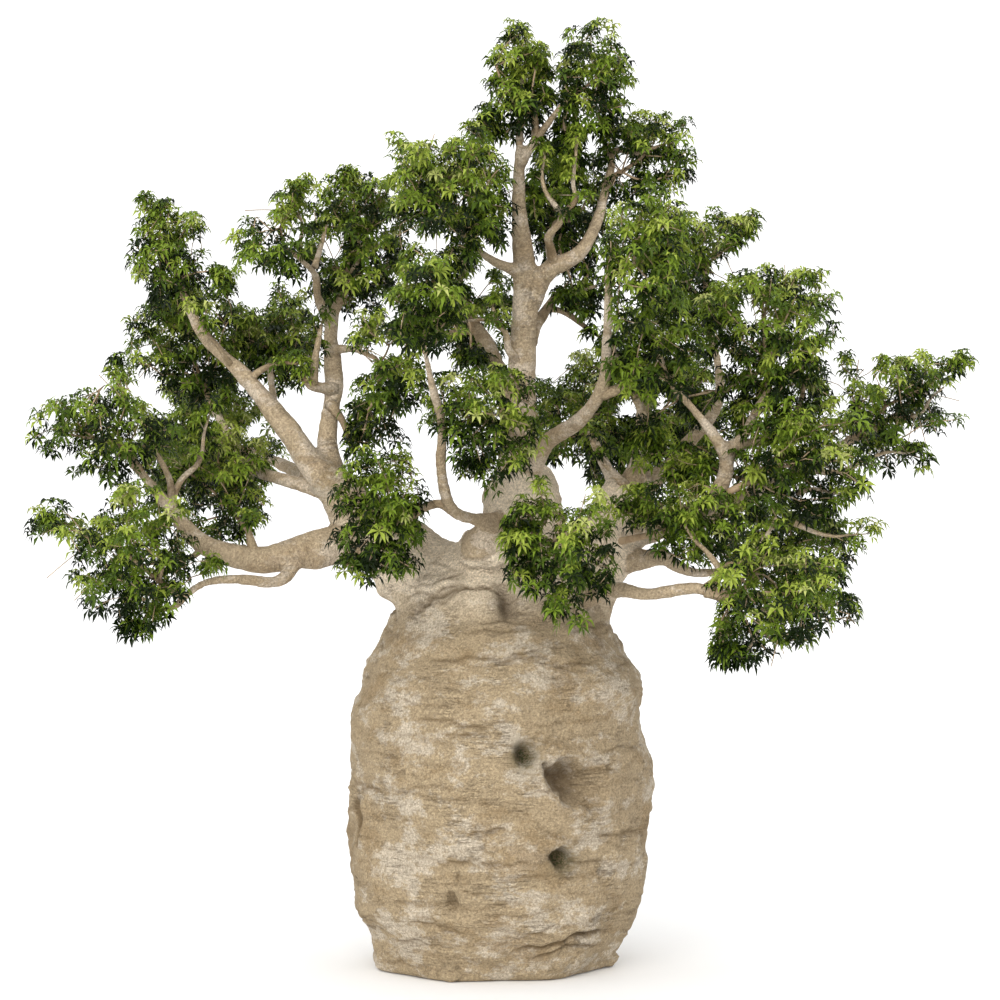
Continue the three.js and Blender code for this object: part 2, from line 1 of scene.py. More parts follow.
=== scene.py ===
# %% [markdown]
# # A bottle-trunked baobab
#
# This lesson dresses a plain model of a baobab: a fat pale trunk, winding boughs and
# ragged masses of drooping leaves. The plain model gives every size and place. The lesson
# adds what a solid can't hold: the relief of the bark, fine twigs and small leaves.
# Lengths are in millimetres until a mesh is made, and the mesh itself is in metres.

# %% Load the plain model
import json
import math

import bpy
import numpy as np
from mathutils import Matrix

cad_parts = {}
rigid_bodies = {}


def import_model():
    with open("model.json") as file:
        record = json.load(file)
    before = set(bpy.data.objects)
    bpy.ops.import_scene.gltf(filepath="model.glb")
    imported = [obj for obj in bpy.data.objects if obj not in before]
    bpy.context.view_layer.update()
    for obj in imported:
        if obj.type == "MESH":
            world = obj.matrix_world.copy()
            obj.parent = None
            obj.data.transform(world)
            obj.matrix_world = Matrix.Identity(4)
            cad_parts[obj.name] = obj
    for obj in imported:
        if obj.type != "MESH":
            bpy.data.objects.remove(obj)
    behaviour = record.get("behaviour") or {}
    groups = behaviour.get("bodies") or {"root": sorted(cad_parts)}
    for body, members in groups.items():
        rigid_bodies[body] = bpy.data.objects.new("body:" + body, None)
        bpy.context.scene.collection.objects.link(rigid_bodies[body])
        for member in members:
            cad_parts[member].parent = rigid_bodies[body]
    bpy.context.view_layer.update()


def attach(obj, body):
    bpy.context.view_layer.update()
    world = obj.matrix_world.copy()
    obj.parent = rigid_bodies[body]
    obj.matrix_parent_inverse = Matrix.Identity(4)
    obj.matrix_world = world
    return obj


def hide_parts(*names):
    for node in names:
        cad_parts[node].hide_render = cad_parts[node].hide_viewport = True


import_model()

# %% [markdown]
# ## Where the viewer stands
#
# The tree is seen from far off with a long lens, so its boughs keep nearly the same scale
# from front to back. The camera is level at half the tree's height, and looks along +Y.
# A place can then be noted as it looks on the plane through the trunk's axis, with its
# depth behind that plane, and be spread out or drawn in to where it really lies. The
# depths are stretched a little to make the crown as round as it is wide.

# %% Camera
viewer_x, viewer_height, viewer_distance = 100, 4650, 29000
seen_height = 10000
film_width = 36

eye = bpy.data.objects.new("eye", bpy.data.cameras.new("eye"))
eye.location = (viewer_x / 1000, -viewer_distance / 1000, viewer_height / 1000)
eye.rotation_euler = (math.radians(90), 0, 0)
eye.data.sensor_width = film_width
eye.data.lens = film_width * viewer_distance / seen_height
eye.data.clip_end = 400
bpy.context.collection.objects.link(eye)
bpy.context.scene.camera = eye
print("lens", round(eye.data.lens, 1), "mm")

# %% Places
roundness = 1.3


def place(spot):
    """A measured [x, z, depth] as a real point."""
    x, z, depth = spot[:3]
    s = (viewer_distance + depth * roundness) / viewer_distance
    return np.array([viewer_x + (x - viewer_x) * s, depth * roundness,
                     viewer_height + (z - viewer_height) * s])


def as_seen(points):
    """The measured x and z of real points."""
    s = (viewer_distance + points[:, 1]) / viewer_distance
    return (viewer_x + (points[:, 0] - viewer_x) / s,
            viewer_height + (points[:, 2] - viewer_height) / s)


far_tip = place([viewer_x + 1000, viewer_height, 1540])
print("a tip that looks 1000 mm out, 2 m behind the trunk, is", round(far_tip[0] - viewer_x), "mm out")

# %% [markdown]
# ## The light
#
# A plain studio: an even white surround, one broad soft sun low over the viewer's left
# shoulder, and a white floor. An area lamp would light the near side of so large a tree
# more than the far side, so a sun with a wide angle is used.

# %% Light
sun_strength = 2.5
sun_spread = math.radians(55)
sun_tilt = (math.radians(74), 0, math.radians(-14))
sun_colour = (1.0, 0.97, 0.92)
surround_strength = 1.3

sun = bpy.data.objects.new("sun", bpy.data.lights.new("sun", "SUN"))
sun.data.energy = sun_strength
sun.data.angle = sun_spread
sun.data.color = sun_colour
sun.rotation_euler = sun_tilt
bpy.context.collection.objects.link(sun)

surround = bpy.data.worlds.new("surround")
surround.use_nodes = True
backdrop = surround.node_tree.nodes["Background"]
backdrop.inputs["Color"].default_value = (1, 1, 1, 1)
backdrop.inputs["Strength"].default_value = surround_strength
bpy.context.scene.world = surround
bpy.context.scene.view_settings.view_transform = "Standard"
print("sun", sun_strength, "and surround", surround_strength)

# %% [markdown]
# ## The floor
#
# The tree stands on a wide white sheet, one plain square. It could be a curved backdrop,
# but the white surround already hides where the floor ends. It shows how a mesh is made
# here: arrays of points and faces are handed over whole, which is far quicker for a
# million leaves than Blender's own tools are.

# %% Meshes, plain finishes and the floor
def make_mesh(name, points, faces, smooth=True):
    """A mesh object, in metres, from points in mm and rows of corner numbers."""
    mesh = bpy.data.meshes.new(name)
    faces = np.asarray(faces, dtype=np.int32)
    count, corners = faces.shape
    mesh.vertices.add(len(points))
    mesh.vertices.foreach_set("co", np.ascontiguousarray(points / 1000, dtype=np.float32).ravel())
    mesh.loops.add(count * corners)
    mesh.loops.foreach_set("vertex_index", faces.ravel())
    mesh.polygons.add(count)
    mesh.polygons.foreach_set("loop_start", np.arange(0, count * corners, corners, dtype=np.int32))
    mesh.polygons.foreach_set("use_smooth", np.full(count, smooth))
    mesh.update(calc_edges=True)
    made = bpy.data.objects.new(name, mesh)
    bpy.context.collection.objects.link(made)
    return made


def new_finish(name, roughness, specular=0.5):
    """A finish, its node tree and its shader."""
    made = bpy.data.materials.new(name)
    made.use_nodes = True
    shader = made.node_tree.nodes["Principled BSDF"]
    shader.inputs["Roughness"].default_value = roughness
    shader.inputs["Specular IOR Level"].default_value = specular
    return made, made.node_tree, shader


def plain_finish(name, colour, roughness, specular=0.5):
    """A finish of one colour all over."""
    made, _, shader = new_finish(name, roughness, specular)
    shader.inputs["Base Color"].default_value = (*colour, 1)
    return made


floor_reach, floor_drop = 60000, 1
corners = np.array([[-1, -1, 0], [1, -1, 0], [1, 1, 0], [-1, 1, 0]])
floor = make_mesh("floor", corners * floor_reach, [[0, 1, 2, 3]])
floor.location.z = -floor_drop / 1000
floor.data.materials.append(plain_finish("floor_paint", (0.92, 0.92, 0.92), 0.9))
print("a white floor", 2 * floor_reach / 1000, "m wide")

# %% [markdown]
# ## The sizes of the trunk
#
# The trunk is a bottle: a belly that swells above its foot, and three boles that rise from
# its shoulders with a rounded knuckle between two of them. These are the plain model's own
# rows, so that the bark lies where the solid does.

# %% Trunk sizes
# Rows of the belly: height, left reach, right reach, reach in depth.
belly = np.array([
    [0, -1150, 1110, 1060], [250, -1190, 1290, 1190], [600, -1380, 1460, 1360],
    [1100, -1430, 1555, 1450], [1800, -1410, 1630, 1490], [2500, -1360, 1480, 1440],
    [2800, -1290, 1540, 1390], [3200, -1140, 1320, 1220], [3550, -950, 1120, 1040],
    [3900, -800, 960, 860], [4150, -520, 700, 600], [4280, -200, 420, 300]], dtype=float)
belly_top = belly[-1, 0]
# Each bole, and the knuckle: rows of x, z, depth and radius.
boles = [
    [[-450, 3650, 0, 540], [-890, 4120, -40, 362], [-1330, 4500, -80, 255], [-1570, 4830, -90, 185]],
    [[300, 3800, 0, 620], [320, 4450, 0, 420], [320, 4780, 0, 370], [300, 5010, 0, 195]],
    [[680, 3250, 0, 450], [930, 3750, 0, 370], [1150, 4150, 0, 320], [1320, 4530, 0, 290],
     [1380, 4800, 0, 235]],
]
knuckle = [-10, 4100, -400, 310]
feet, foot_depth, foot_height, swelling = 7, 0.05, 420, 0.022
print("belly", round((belly[:, 2] - belly[:, 1]).max()), "mm wide,", len(boles), "boles")

# %% [markdown]
# ## The sizes of the boughs and masses
#
# A bough starts inside the limb it comes from and ends where it enters its mass of leaves.
# A mass is given by the middle and half sizes of the space it fills. Three masses hang on
# the trunk itself and have a stem in place of a bough.

# %% Bough and mass sizes
limbs = [
    dict(name="left_tip", bough=[[-1250, 4230, -100, 190], [-1880, 4130, -300, 150],
         [-2350, 4050, -400, 125], [-2850, 4190, -500, 98], [-3150, 4510, -550, 68],
         [-3520, 4960, -640, 46]], centre=[-3800, 5440, -700], half=[800, 620, 650]),
    dict(name="left_low", bough=[[-1900, 4120, -320, 75], [-2090, 3850, -520, 60], [-2540, 3860, -800, 48],
         [-2850, 3820, -950, 38], [-3040, 3700, -1040, 32]], centre=[-3710, 4110, -1200],
         half=[820, 780, 750]),
    dict(name="left_mid", bough=[[-2290, 4060, -390, 50], [-2370, 4200, -250, 36], [-2420, 4330, -110, 27]],
         centre=[-2780, 4780, 200], half=[640, 640, 650]),
    dict(name="left_tall", bough=[[-1550, 4760, -100, 140], [-1780, 5020, -90, 122],
         [-2060, 5400, -50, 108], [-2470, 5900, 30, 78], [-2860, 6290, 80, 60], [-3030, 6620, 118, 45]],
         centre=[-3190, 7130, 150], half=[390, 620, 450]),
    dict(name="left_broad", bough=[[-1480, 4700, -40, 90], [-2060, 4850, 150, 68], [-2400, 4990, 400, 60],
         [-2580, 5250, 550, 50], [-2780, 5590, 700, 40]], centre=[-3020, 6220, 800], half=[640, 690, 650]),
    dict(name="left_inner", bough=[[-2180, 5560, -20, 60], [-2170, 5680, 300, 45], [-2190, 5850, 700, 36],
         [-2200, 5980, 950, 32]], centre=[-2170, 6270, 1500], half=[480, 580, 700]),
    dict(name="left_crown", bough=[[-1540, 4720, -20, 118], [-1630, 5320, 60, 92], [-1560, 5750, 150, 95],
         [-1590, 6250, 250, 80], [-1550, 6530, 320, 58], [-1490, 6680, 360, 50]], centre=[-1340, 7230, 600],
         half=[560, 750, 700]),
    dict(name="left_peak", bough=[[-1590, 6420, 290, 60], [-1720, 6670, 50, 44], [-1750, 6900, -200, 34],
         [-1950, 7100, -490, 26]], centre=[-2200, 7260, -700], half=[400, 500, 500]),
    dict(name="mid_left", bough=[[-1590, 6150, 230, 50], [-1370, 6160, -50, 34], [-1170, 6080, -360, 26]],
         centre=[-1010, 5920, -680], half=[480, 760, 480]),
    dict(name="heart_left", bough=[[200, 4460, -100, 85], [-160, 4460, -600, 62], [-390, 4570, -900, 60],
         [-490, 4970, -1150, 58], [-480, 5400, -1350, 48], [-580, 5800, -1550, 36],
         [-655, 6160, -1715, 27]], centre=[-650, 6650, -1900], half=[430, 540, 550]),
    dict(name="top", bough=[[300, 4850, 0, 180], [290, 5200, 0, 160], [320, 5970, 0, 132],
         [345, 6890, 30, 118], [290, 7610, 20, 72], [290, 8070, 0, 50], [295, 8235, 0, 38]],
         centre=[320, 8850, 0], half=[320, 700, 420]),
    dict(name="heart_upper", bough=[[330, 6920, 20, 65], [50, 7030, -180, 48], [-170, 7180, -305, 36]],
         centre=[-400, 7720, -500], half=[680, 740, 750]),
    dict(name="heart_low", bough=[[290, 5430, 0, 120], [110, 5880, 200, 95], [-30, 6190, 420, 82],
         [-130, 6380, 620, 62]], centre=[-150, 6530, 1100], half=[480, 560, 650]),
    dict(name="stem_front", bough=[[290, 5230, 0, 60], [220, 5330, -350, 42], [110, 5420, -760, 30]],
         centre=[-70, 5430, -1250], half=[620, 680, 520]),
    dict(name="top_right", bough=[[290, 7990, 0, 50], [480, 8280, -60, 44], [690, 8560, -100, 30]],
         centre=[1010, 8840, -100], half=[410, 640, 450]),
    dict(name="right_peak", bough=[[350, 6580, 30, 108], [570, 6930, 0, 85], [890, 7120, -50, 72],
         [1070, 7430, 30, 58], [1165, 7800, 170, 40]], centre=[1560, 8080, 300], half=[490, 550, 550]),
    dict(name="stem_right", bough=[[650, 6990, -20, 55], [590, 7220, 180, 40], [640, 7380, 330, 34]],
         centre=[790, 7560, 880], half=[440, 760, 600]),
    dict(name="right_upper", bough=[[320, 4800, -100, 110], [560, 5220, -380, 85], [900, 5450, -700, 76],
         [1130, 5800, -1000, 60], [1170, 6300, -1300, 50], [1190, 6850, -1620, 42]],
         centre=[1580, 7050, -1900], half=[470, 680, 600]),
    dict(name="right_shoulder", bough=[[1400, 4680, 40, 115], [1770, 4970, 200, 82], [2000, 5240, 350, 72],
         [2280, 5610, 550, 52], [2280, 6000, 700, 44], [2180, 6365, 820, 37]], centre=[2130, 6950, 900],
         half=[560, 600, 650]),
    dict(name="right_outer", bough=[[1320, 4450, -60, 130], [1850, 4490, -450, 105], [2200, 4620, -680, 90],
         [2340, 4870, -780, 78], [2380, 5120, -800, 72], [2540, 5300, -760, 52], [2640, 5500, -700, 42],
         [2755, 5710, -635, 32]], centre=[2750, 6280, -500], half=[740, 770, 650]),
    dict(name="right_middle", bough=[[2380, 5080, -800, 66], [2250, 5280, -880, 55], [2080, 5500, -950, 44],
         [1910, 5700, -1010, 36]], centre=[1600, 6150, -1100], half=[520, 560, 500]),
    dict(name="right_wide", bough=[[2110, 4570, -620, 60], [2240, 4620, -760, 48], [2350, 4700, -820, 42]],
         centre=[3060, 5070, -680], half=[840, 690, 650]),
    dict(name="far_right", bough=[[1300, 4330, 40, 150], [2100, 4480, 350, 110], [2700, 4740, 500, 82],
         [3110, 4980, 500, 60], [3600, 5250, 430, 46]], centre=[4130, 5630, 350], half=[640, 560, 650]),
    dict(name="right_low", bough=[[850, 3650, -250, 115], [1310, 3750, -950, 76], [1560, 3710, -1080, 64],
         [2060, 3770, -1280, 60], [2170, 3740, -1320, 56]], centre=[2840, 3620, -1500],
         half=[780, 660, 700]),
    dict(name="right_skirt", bough=[[1050, 4020, -40, 130], [1500, 4050, -120, 95], [1720, 4080, -50, 82],
         [1860, 3990, 100, 60], [2060, 3920, 250, 46], [2380, 3950, 400, 34]], centre=[3000, 4200, 600],
         half=[800, 470, 650]),
    dict(name="back_stem", bough=[[1350, 4600, 50, 90], [1150, 5000, 600, 60], [1040, 5240, 1230, 45]],
         centre=[880, 5450, 2000], half=[560, 760, 850]),
    dict(name="back_left", bough=[[-1400, 4560, 0, 120], [-1850, 4880, 650, 75], [-2200, 5060, 1350, 55],
         [-2380, 5130, 1620, 46]], centre=[-2800, 5250, 2300], half=[750, 700, 850]),
    dict(name="back_right", bough=[[1390, 4700, 60, 120], [1500, 5000, 400, 85], [1510, 5350, 1000, 68],
         [1520, 5540, 1590, 50]], centre=[1720, 5450, 2400], half=[750, 800, 850]),
    dict(name="front_left", stem=[[-1000, 4120, -150, 40], [-1050, 4230, -600, 34]],
         centre=[-1110, 4540, -1150], half=[480, 790, 500]),
    dict(name="front_right", stem=[[430, 4300, -150, 44], [560, 4250, -1000, 34]],
         centre=[710, 4120, -1550], half=[560, 780, 520]),
    dict(name="right_under", stem=[[1220, 4220, -60, 42], [1600, 4300, -650, 32]],
         centre=[2000, 4450, -1000], half=[620, 450, 500]),
]
boughs = [limb for limb in limbs if "bough" in limb]
print(len(boughs), "boughs and", len(limbs), "masses")

# %% [markdown]
# ## Branches
#
# Between the boughs and the leaves the living tree shows many winding branches, as thin as
# a wrist or a finger. They are noted in the same way. Each starts inside the limb that
# carries it and ends in a mass.

# %% Branch sizes
branches = dict(
    tall_side=[[-2400, 5850, 30, 35], [-2300, 5940, 0, 30], [-2190, 6000, -60, 25], [-2060, 6020, -120, 20],
        [-1920, 6010, -160, 14]],
    tall_front=[[-2600, 6000, 20, 30], [-2700, 6150, -150, 20], [-2850, 6350, -250, 12],
        [-2950, 6500, -280, 6]],
    curl=[[-1560, 5760, 120, 60], [-1710, 5770, 0, 50], [-1800, 5800, -60, 42], [-1850, 5880, -100, 30]],
    curl_up=[[-1760, 5800, -40, 40], [-1750, 6060, -80, 36], [-1720, 6210, -90, 30],
        [-1690, 6400, -100, 20]],
    hanging=[[-1590, 5600, 60, 50], [-1480, 5450, -60, 38], [-1370, 5160, -110, 26]],
    crown_up=[[-1500, 6640, 350, 50], [-1450, 6730, 330, 42], [-1370, 6920, 300, 34],
        [-1310, 7100, 280, 26], [-1310, 7300, 260, 15]],
    peak_up=[[-1750, 6980, -260, 28], [-1690, 7190, -150, 24], [-1630, 7400, -100, 14]],
    peak_twig=[[-1890, 7050, -430, 24], [-1900, 7220, -450, 20], [-1870, 7380, -470, 16],
        [-1920, 7530, -480, 10]],
    arm_up=[[-3170, 4560, -550, 40], [-3210, 4850, -600, 32], [-3260, 4990, -640, 28],
        [-3340, 5120, -680, 24], [-3390, 5240, -700, 18], [-3430, 5400, -720, 10]],
    arm_right=[[-3190, 4620, -560, 38], [-3090, 4850, -520, 30], [-2940, 4990, -480, 26],
        [-2880, 5120, -450, 22], [-2860, 5320, -430, 16], [-2810, 5490, -400, 10]],
    arm_stub=[[-2350, 4080, -420, 50], [-2400, 4300, -440, 34], [-2450, 4450, -460, 20]],
    arm_end=[[-3520, 4960, -640, 40], [-3600, 5130, -660, 30], [-3720, 5220, -680, 24],
        [-3910, 5250, -720, 17], [-4220, 5310, -760, 9]],
    arm_under=[[-2860, 4180, -500, 36], [-2980, 4080, -560, 30], [-3110, 4070, -600, 26],
        [-3500, 3990, -800, 14]],
    low_end=[[-3040, 3700, -1040, 30], [-3150, 3590, -1080, 26], [-3370, 3550, -1120, 20],
        [-3500, 3590, -1150, 11]],
    heart_side=[[-400, 4560, -900, 50], [-520, 4610, -930, 40], [-630, 4580, -950, 38],
        [-750, 4500, -980, 32], [-1080, 4360, -1050, 18]],
    top_twig=[[460, 8260, -60, 34], [430, 8530, -60, 26], [340, 8690, -50, 22], [320, 8870, -40, 17],
        [350, 9050, -30, 10]],
    top_up=[[295, 8235, 0, 34], [300, 8450, 0, 25], [270, 8700, 0, 14]],
    low_up=[[-130, 6370, 610, 58], [-230, 6510, 620, 46], [-290, 6740, 640, 38], [-320, 6830, 650, 34],
        [-240, 6950, 660, 28], [-290, 7080, 670, 16]],
    low_left=[[-110, 6350, 590, 36], [-440, 6320, 400, 28], [-690, 6310, 250, 21], [-900, 6280, 120, 12]],
    middle=[[300, 6020, -60, 44], [180, 6160, -150, 36], [160, 6310, -190, 30], [80, 6430, -220, 26],
        [30, 6580, -240, 17]],
    middle_left=[[80, 6430, -220, 21], [-60, 6450, -260, 17], [-360, 6430, -350, 10]],
    peak_winding=[[650, 6980, -20, 44], [600, 7200, -160, 40], [580, 7280, -200, 38], [690, 7410, -240, 34],
        [730, 7520, -260, 28], [860, 7650, -280, 24], [830, 7810, -290, 21], [860, 8100, -310, 16],
        [860, 8290, -320, 10]],
    peak_fork=[[720, 7500, -260, 27], [550, 7750, -290, 20], [520, 7920, -300, 16], [550, 8090, -310, 10]],
    peak_end=[[1165, 7780, 160, 40], [1210, 7950, 200, 36], [1220, 8110, 230, 32], [1310, 8150, 200, 29],
        [1460, 8120, 180, 25], [1560, 8150, 170, 19], [1740, 8210, 160, 11]],
    behind=[[380, 6250, 100, 74], [440, 6370, 210, 62], [520, 6480, 320, 56], [580, 6590, 400, 48],
        [720, 6730, 450, 36], [810, 6690, 480, 32], [940, 6750, 500, 27], [1070, 6790, 520, 15]],
    behind_low=[[570, 6570, 390, 36], [720, 6540, 440, 30], [1000, 6350, 480, 25], [1110, 6270, 500, 15]],
    upper_side=[[1130, 5720, -950, 50], [1290, 5770, -1000, 42], [1360, 5890, -1030, 36],
        [1280, 6040, -1060, 28], [1240, 6180, -1080, 18]],
    upper_end=[[1190, 6830, -1610, 40], [1220, 7030, -1650, 30], [1280, 7120, -1660, 26],
        [1400, 7150, -1670, 22], [1560, 7110, -1650, 18], [1660, 7040, -1640, 15], [1820, 7060, -1630, 10]],
    right_thin=[[1360, 4780, -120, 44], [1240, 4920, -230, 32], [1130, 5030, -300, 28],
        [1070, 5150, -350, 24], [980, 5340, -400, 14]],
    right_main=[[1400, 4750, -20, 100], [1490, 5000, 20, 78], [1500, 5200, 60, 70], [1530, 5400, 100, 62],
        [1500, 5600, 130, 55], [1430, 5730, 150, 48], [1370, 5850, 170, 42], [1260, 6130, 200, 26]],
    middle_end=[[1910, 5690, -1010, 35], [1860, 5750, -1030, 32], [1770, 5890, -1060, 27],
        [1710, 6080, -1080, 22], [1630, 6240, -1100, 17], [1530, 6410, -1120, 10]],
    wide_up=[[2440, 5190, -790, 50], [2690, 5240, -650, 42], [2840, 5330, -560, 38], [3000, 5460, -480, 34],
        [3080, 5550, -440, 31], [3120, 5690, -410, 25], [3160, 5900, -390, 14]],
    far_end=[[3580, 5240, 430, 46], [3690, 5290, 420, 41], [3850, 5350, 400, 35], [3990, 5460, 380, 29],
        [4170, 5470, 360, 22], [4310, 5520, 340, 18], [4400, 5660, 330, 15], [4540, 5780, 320, 9]],
    far_up=[[3980, 5440, 380, 27], [4080, 5520, 370, 22], [4180, 5640, 360, 19], [4180, 5750, 350, 15],
        [4250, 5860, 345, 9]],
    far_low=[[3130, 4980, 500, 40], [3370, 4920, 420, 32], [3560, 4950, 400, 28], [3700, 5030, 380, 24],
        [3860, 5090, 370, 20], [3990, 5130, 360, 15], [4180, 5110, 350, 11], [4330, 5060, 340, 6]],
    wide_end=[[3050, 4420, -690, 26], [3240, 4330, -700, 20], [3420, 4290, -710, 15],
        [3590, 4300, -720, 11], [3760, 4310, -730, 6]],
    edge_end=[[3060, 4720, -650, 26], [3250, 4760, -640, 19], [3420, 4720, -640, 14],
        [3560, 4700, -640, 8]],
    tip_spire=[[-3430, 5390, -720, 13], [-3600, 5560, -700, 12], [-3680, 5760, -690, 9],
        [-3720, 5960, -690, 6]],
    low_rise=[[2160, 3740, -1320, 48], [2260, 3850, -1340, 42], [2320, 3980, -1360, 37],
        [2480, 4010, -1390, 31], [2600, 4020, -1410, 28], [2670, 4150, -1420, 25], [2750, 4270, -1430, 22],
        [2860, 4480, -1450, 12]],
    low_back=[[2300, 3960, -1350, 30], [2170, 4130, -1360, 22], [2050, 4240, -1370, 18],
        [1940, 4400, -1380, 11]],
    low_out=[[2170, 3740, -1320, 50], [2290, 3690, -1350, 45], [2410, 3620, -1370, 41],
        [2540, 3590, -1390, 36], [2670, 3530, -1410, 29], [2840, 3580, -1430, 22], [3100, 3490, -1450, 11]],
    low_drop=[[2640, 3540, -1410, 26], [2690, 3460, -1420, 18], [2670, 3330, -1430, 16],
        [2630, 3230, -1440, 13], [2540, 3110, -1450, 9]],
)
print(len(branches), "branches")

# %% [markdown]
# ## Limbs as rings
#
# A limb is a row of rings along a smooth curve: each ring is square to the curve, and its
# radius runs evenly from one measured row to the next. Blender's curve objects could do
# this, but plain arrays are quicker for thousands of twigs, and the same rings later say
# how far along its limb each bit of bark lies.

# %% Curves, rings and tubes
measuring_steps = 200


def curve_points(rows, steps):
    """Points on the smooth curve through rows of points, evenly in its own parameter."""
    rows = np.asarray(rows, dtype=float)
    last = len(rows) - 1
    ends = np.vstack([2 * rows[0] - rows[1], rows, 2 * rows[last] - rows[last - 1]])
    out = []
    for i in range(steps + 1):
        t = i / steps * last
        k = min(int(t), last - 1)
        w = t - k
        p0, p1, p2, p3 = ends[k:k + 4]
        d0, d1, d2 = (max(np.sum((b - a) ** 2) ** 0.25, 1e-4) for a, b in ((p0, p1), (p1, p2), (p2, p3)))
        m1 = ((p1 - p0) / d0 - (p2 - p0) / (d0 + d1) + (p2 - p1) / d1) * d1
        m2 = ((p2 - p1) / d1 - (p3 - p1) / (d1 + d2) + (p3 - p2) / d2) * d1
        out.append(p1 + m1 * w + (3 * (p2 - p1) - 2 * m1 - m2) * w ** 2 + (2 * (p1 - p2) + m1 + m2) * w ** 3)
    return np.array(out)


def ways_along(centres):
    """How far along its limb each ring is."""
    return np.concatenate([[0], np.cumsum(np.linalg.norm(np.diff(centres, axis=0), axis=1))])


def rings_of(rows, step):
    """Centres and radii along a limb given by rows of x, z, depth and radius."""
    spots = np.array([place(row) for row in rows])
    length = np.linalg.norm(np.diff(curve_points(spots, measuring_steps), axis=0), axis=1).sum()
    steps = max(len(rows) - 1, math.ceil(length / step))
    t = np.linspace(0, len(rows) - 1, steps + 1)
    return curve_points(spots, steps), np.interp(t, np.arange(len(rows)), [row[3] for row in rows])


def frames_along(centres):
    """For each ring, the way along the limb and two ways across it."""
    along = np.gradient(centres, axis=0)
    along /= np.linalg.norm(along, axis=1)[:, None]
    side = np.array([1, 0.1, 0.0])
    sides = []
    for way in along:
        side = side - way * side.dot(way)
        side /= np.linalg.norm(side)
        sides.append(side)
    return along, np.array(sides), np.cross(sides, along)


def wall(rows, count):
    """The faces between rings of count points, and the caps from both ends to two last points."""
    grid = np.arange(rows * count).reshape(rows, count)
    nxt = np.roll(grid, -1, axis=1)
    faces = np.stack([grid[:-1], nxt[:-1], nxt[1:], grid[1:]], axis=-1).reshape(-1, 4)
    first, last = np.full(count, rows * count), np.full(count, rows * count + 1)
    return faces, np.vstack([np.stack([nxt[0], grid[0], first], axis=-1),
                             np.stack([grid[-1], nxt[-1], last], axis=-1)])


def spokes(side, across, count):
    """The ways from each centre to the points of its ring."""
    turn = np.linspace(0, 2 * np.pi, count, endpoint=False)
    return np.cos(turn)[None, :, None] * side[:, None] + np.sin(turn)[None, :, None] * across[:, None]


def tube(centres, radii, count):
    """The points, four-sided faces and end caps of a tube."""
    _, side, across = frames_along(centres)
    points = centres[:, None] + spokes(side, across, count) * np.asarray(radii)[:, None, None]
    return np.vstack([points.reshape(-1, 3), centres[:1], centres[-1:]]), *wall(len(centres), count)


trial = rings_of(limbs[0]["bough"], 70)
print("the left arm has", len(trial[0]), "rings at 70 mm")

# %% [markdown]
# ## The bark's skin
#
# On the living tree boles and boughs flow into each other with no edge. Overlapping tubes
# would show hard creases, so belly, boles, knuckle and boughs are first thrown together,
# and a voxel remesh wraps them in one skin. Smoothing that skin rounds the forks. A limb is
# widened a little near its start, as a real one is where it leaves its bole.

# %% The belly
belly_curve_steps = 176
belly_sides, belly_rows = 120, 90
foot_turn, swell_drift, swell_height = 0.8, 520, 410


def belly_at(height):
    """Middle, half width and half depth of the belly at heights."""
    spots = curve_points(belly[:, 1:], belly_curve_steps)
    rows = np.linspace(0, len(belly) - 1, len(spots))
    row = np.interp(np.clip(height, 0, belly_top), belly[:, 0], np.arange(len(belly)))
    left, right, depth = (np.interp(row, rows, spots[:, k]) for k in range(3))
    return (left + right) / 2, (right - left) / 2, depth


def belly_points(turn, height):
    """Points round the belly, with lobes at its feet and slow swellings above them."""
    middle, half_width, half_depth = belly_at(height)
    lobe = foot_depth * np.cos(feet * turn + foot_turn) * np.exp(-height / foot_height)
    swell = swelling * np.sin(3 * turn + height / swell_drift) * np.sin(height / swell_height + 2 * turn)
    reach = 1 + lobe + swell
    return np.stack([middle + half_width * reach * np.cos(turn), half_depth * reach * np.sin(turn), height],
                    axis=-1)


turns = np.linspace(0, 2 * np.pi, belly_sides, endpoint=False)
heights = np.linspace(0, belly_top, belly_rows)
skin = belly_points(*(a.ravel() for a in np.meshgrid(turns, heights)))
belly_faces, caps = wall(belly_rows, belly_sides)
skin = np.vstack([skin, [[0, 0, 0]], [[belly_at(belly_top)[0], 0, belly_top]]])
print(len(skin), "points on the belly")

# %% Boles and boughs
bole_step, bough_step, bole_sides, bough_sides, burl_rings = 80, 60, 28, 18, 24
# A bough is made stouter than measured, as smoothing shrinks it, and flares past its start.
stoutness, base_flare, flare_reach, buried = 1.08, 0.2, 1.3, 1.6

lines = [rings_of(rows, bole_step) for rows in boles]
plain_boles = len(lines)
lines += [rings_of(limb["bough"], bough_step) for limb in boughs]

x, z, depth, radius = knuckle
turn = np.linspace(0, np.pi, burl_rings)
burl = place([x, z, depth]) + np.outer(np.cos(turn), [0, 0, radius])
burl_radii = radius * np.sin(turn) + 1

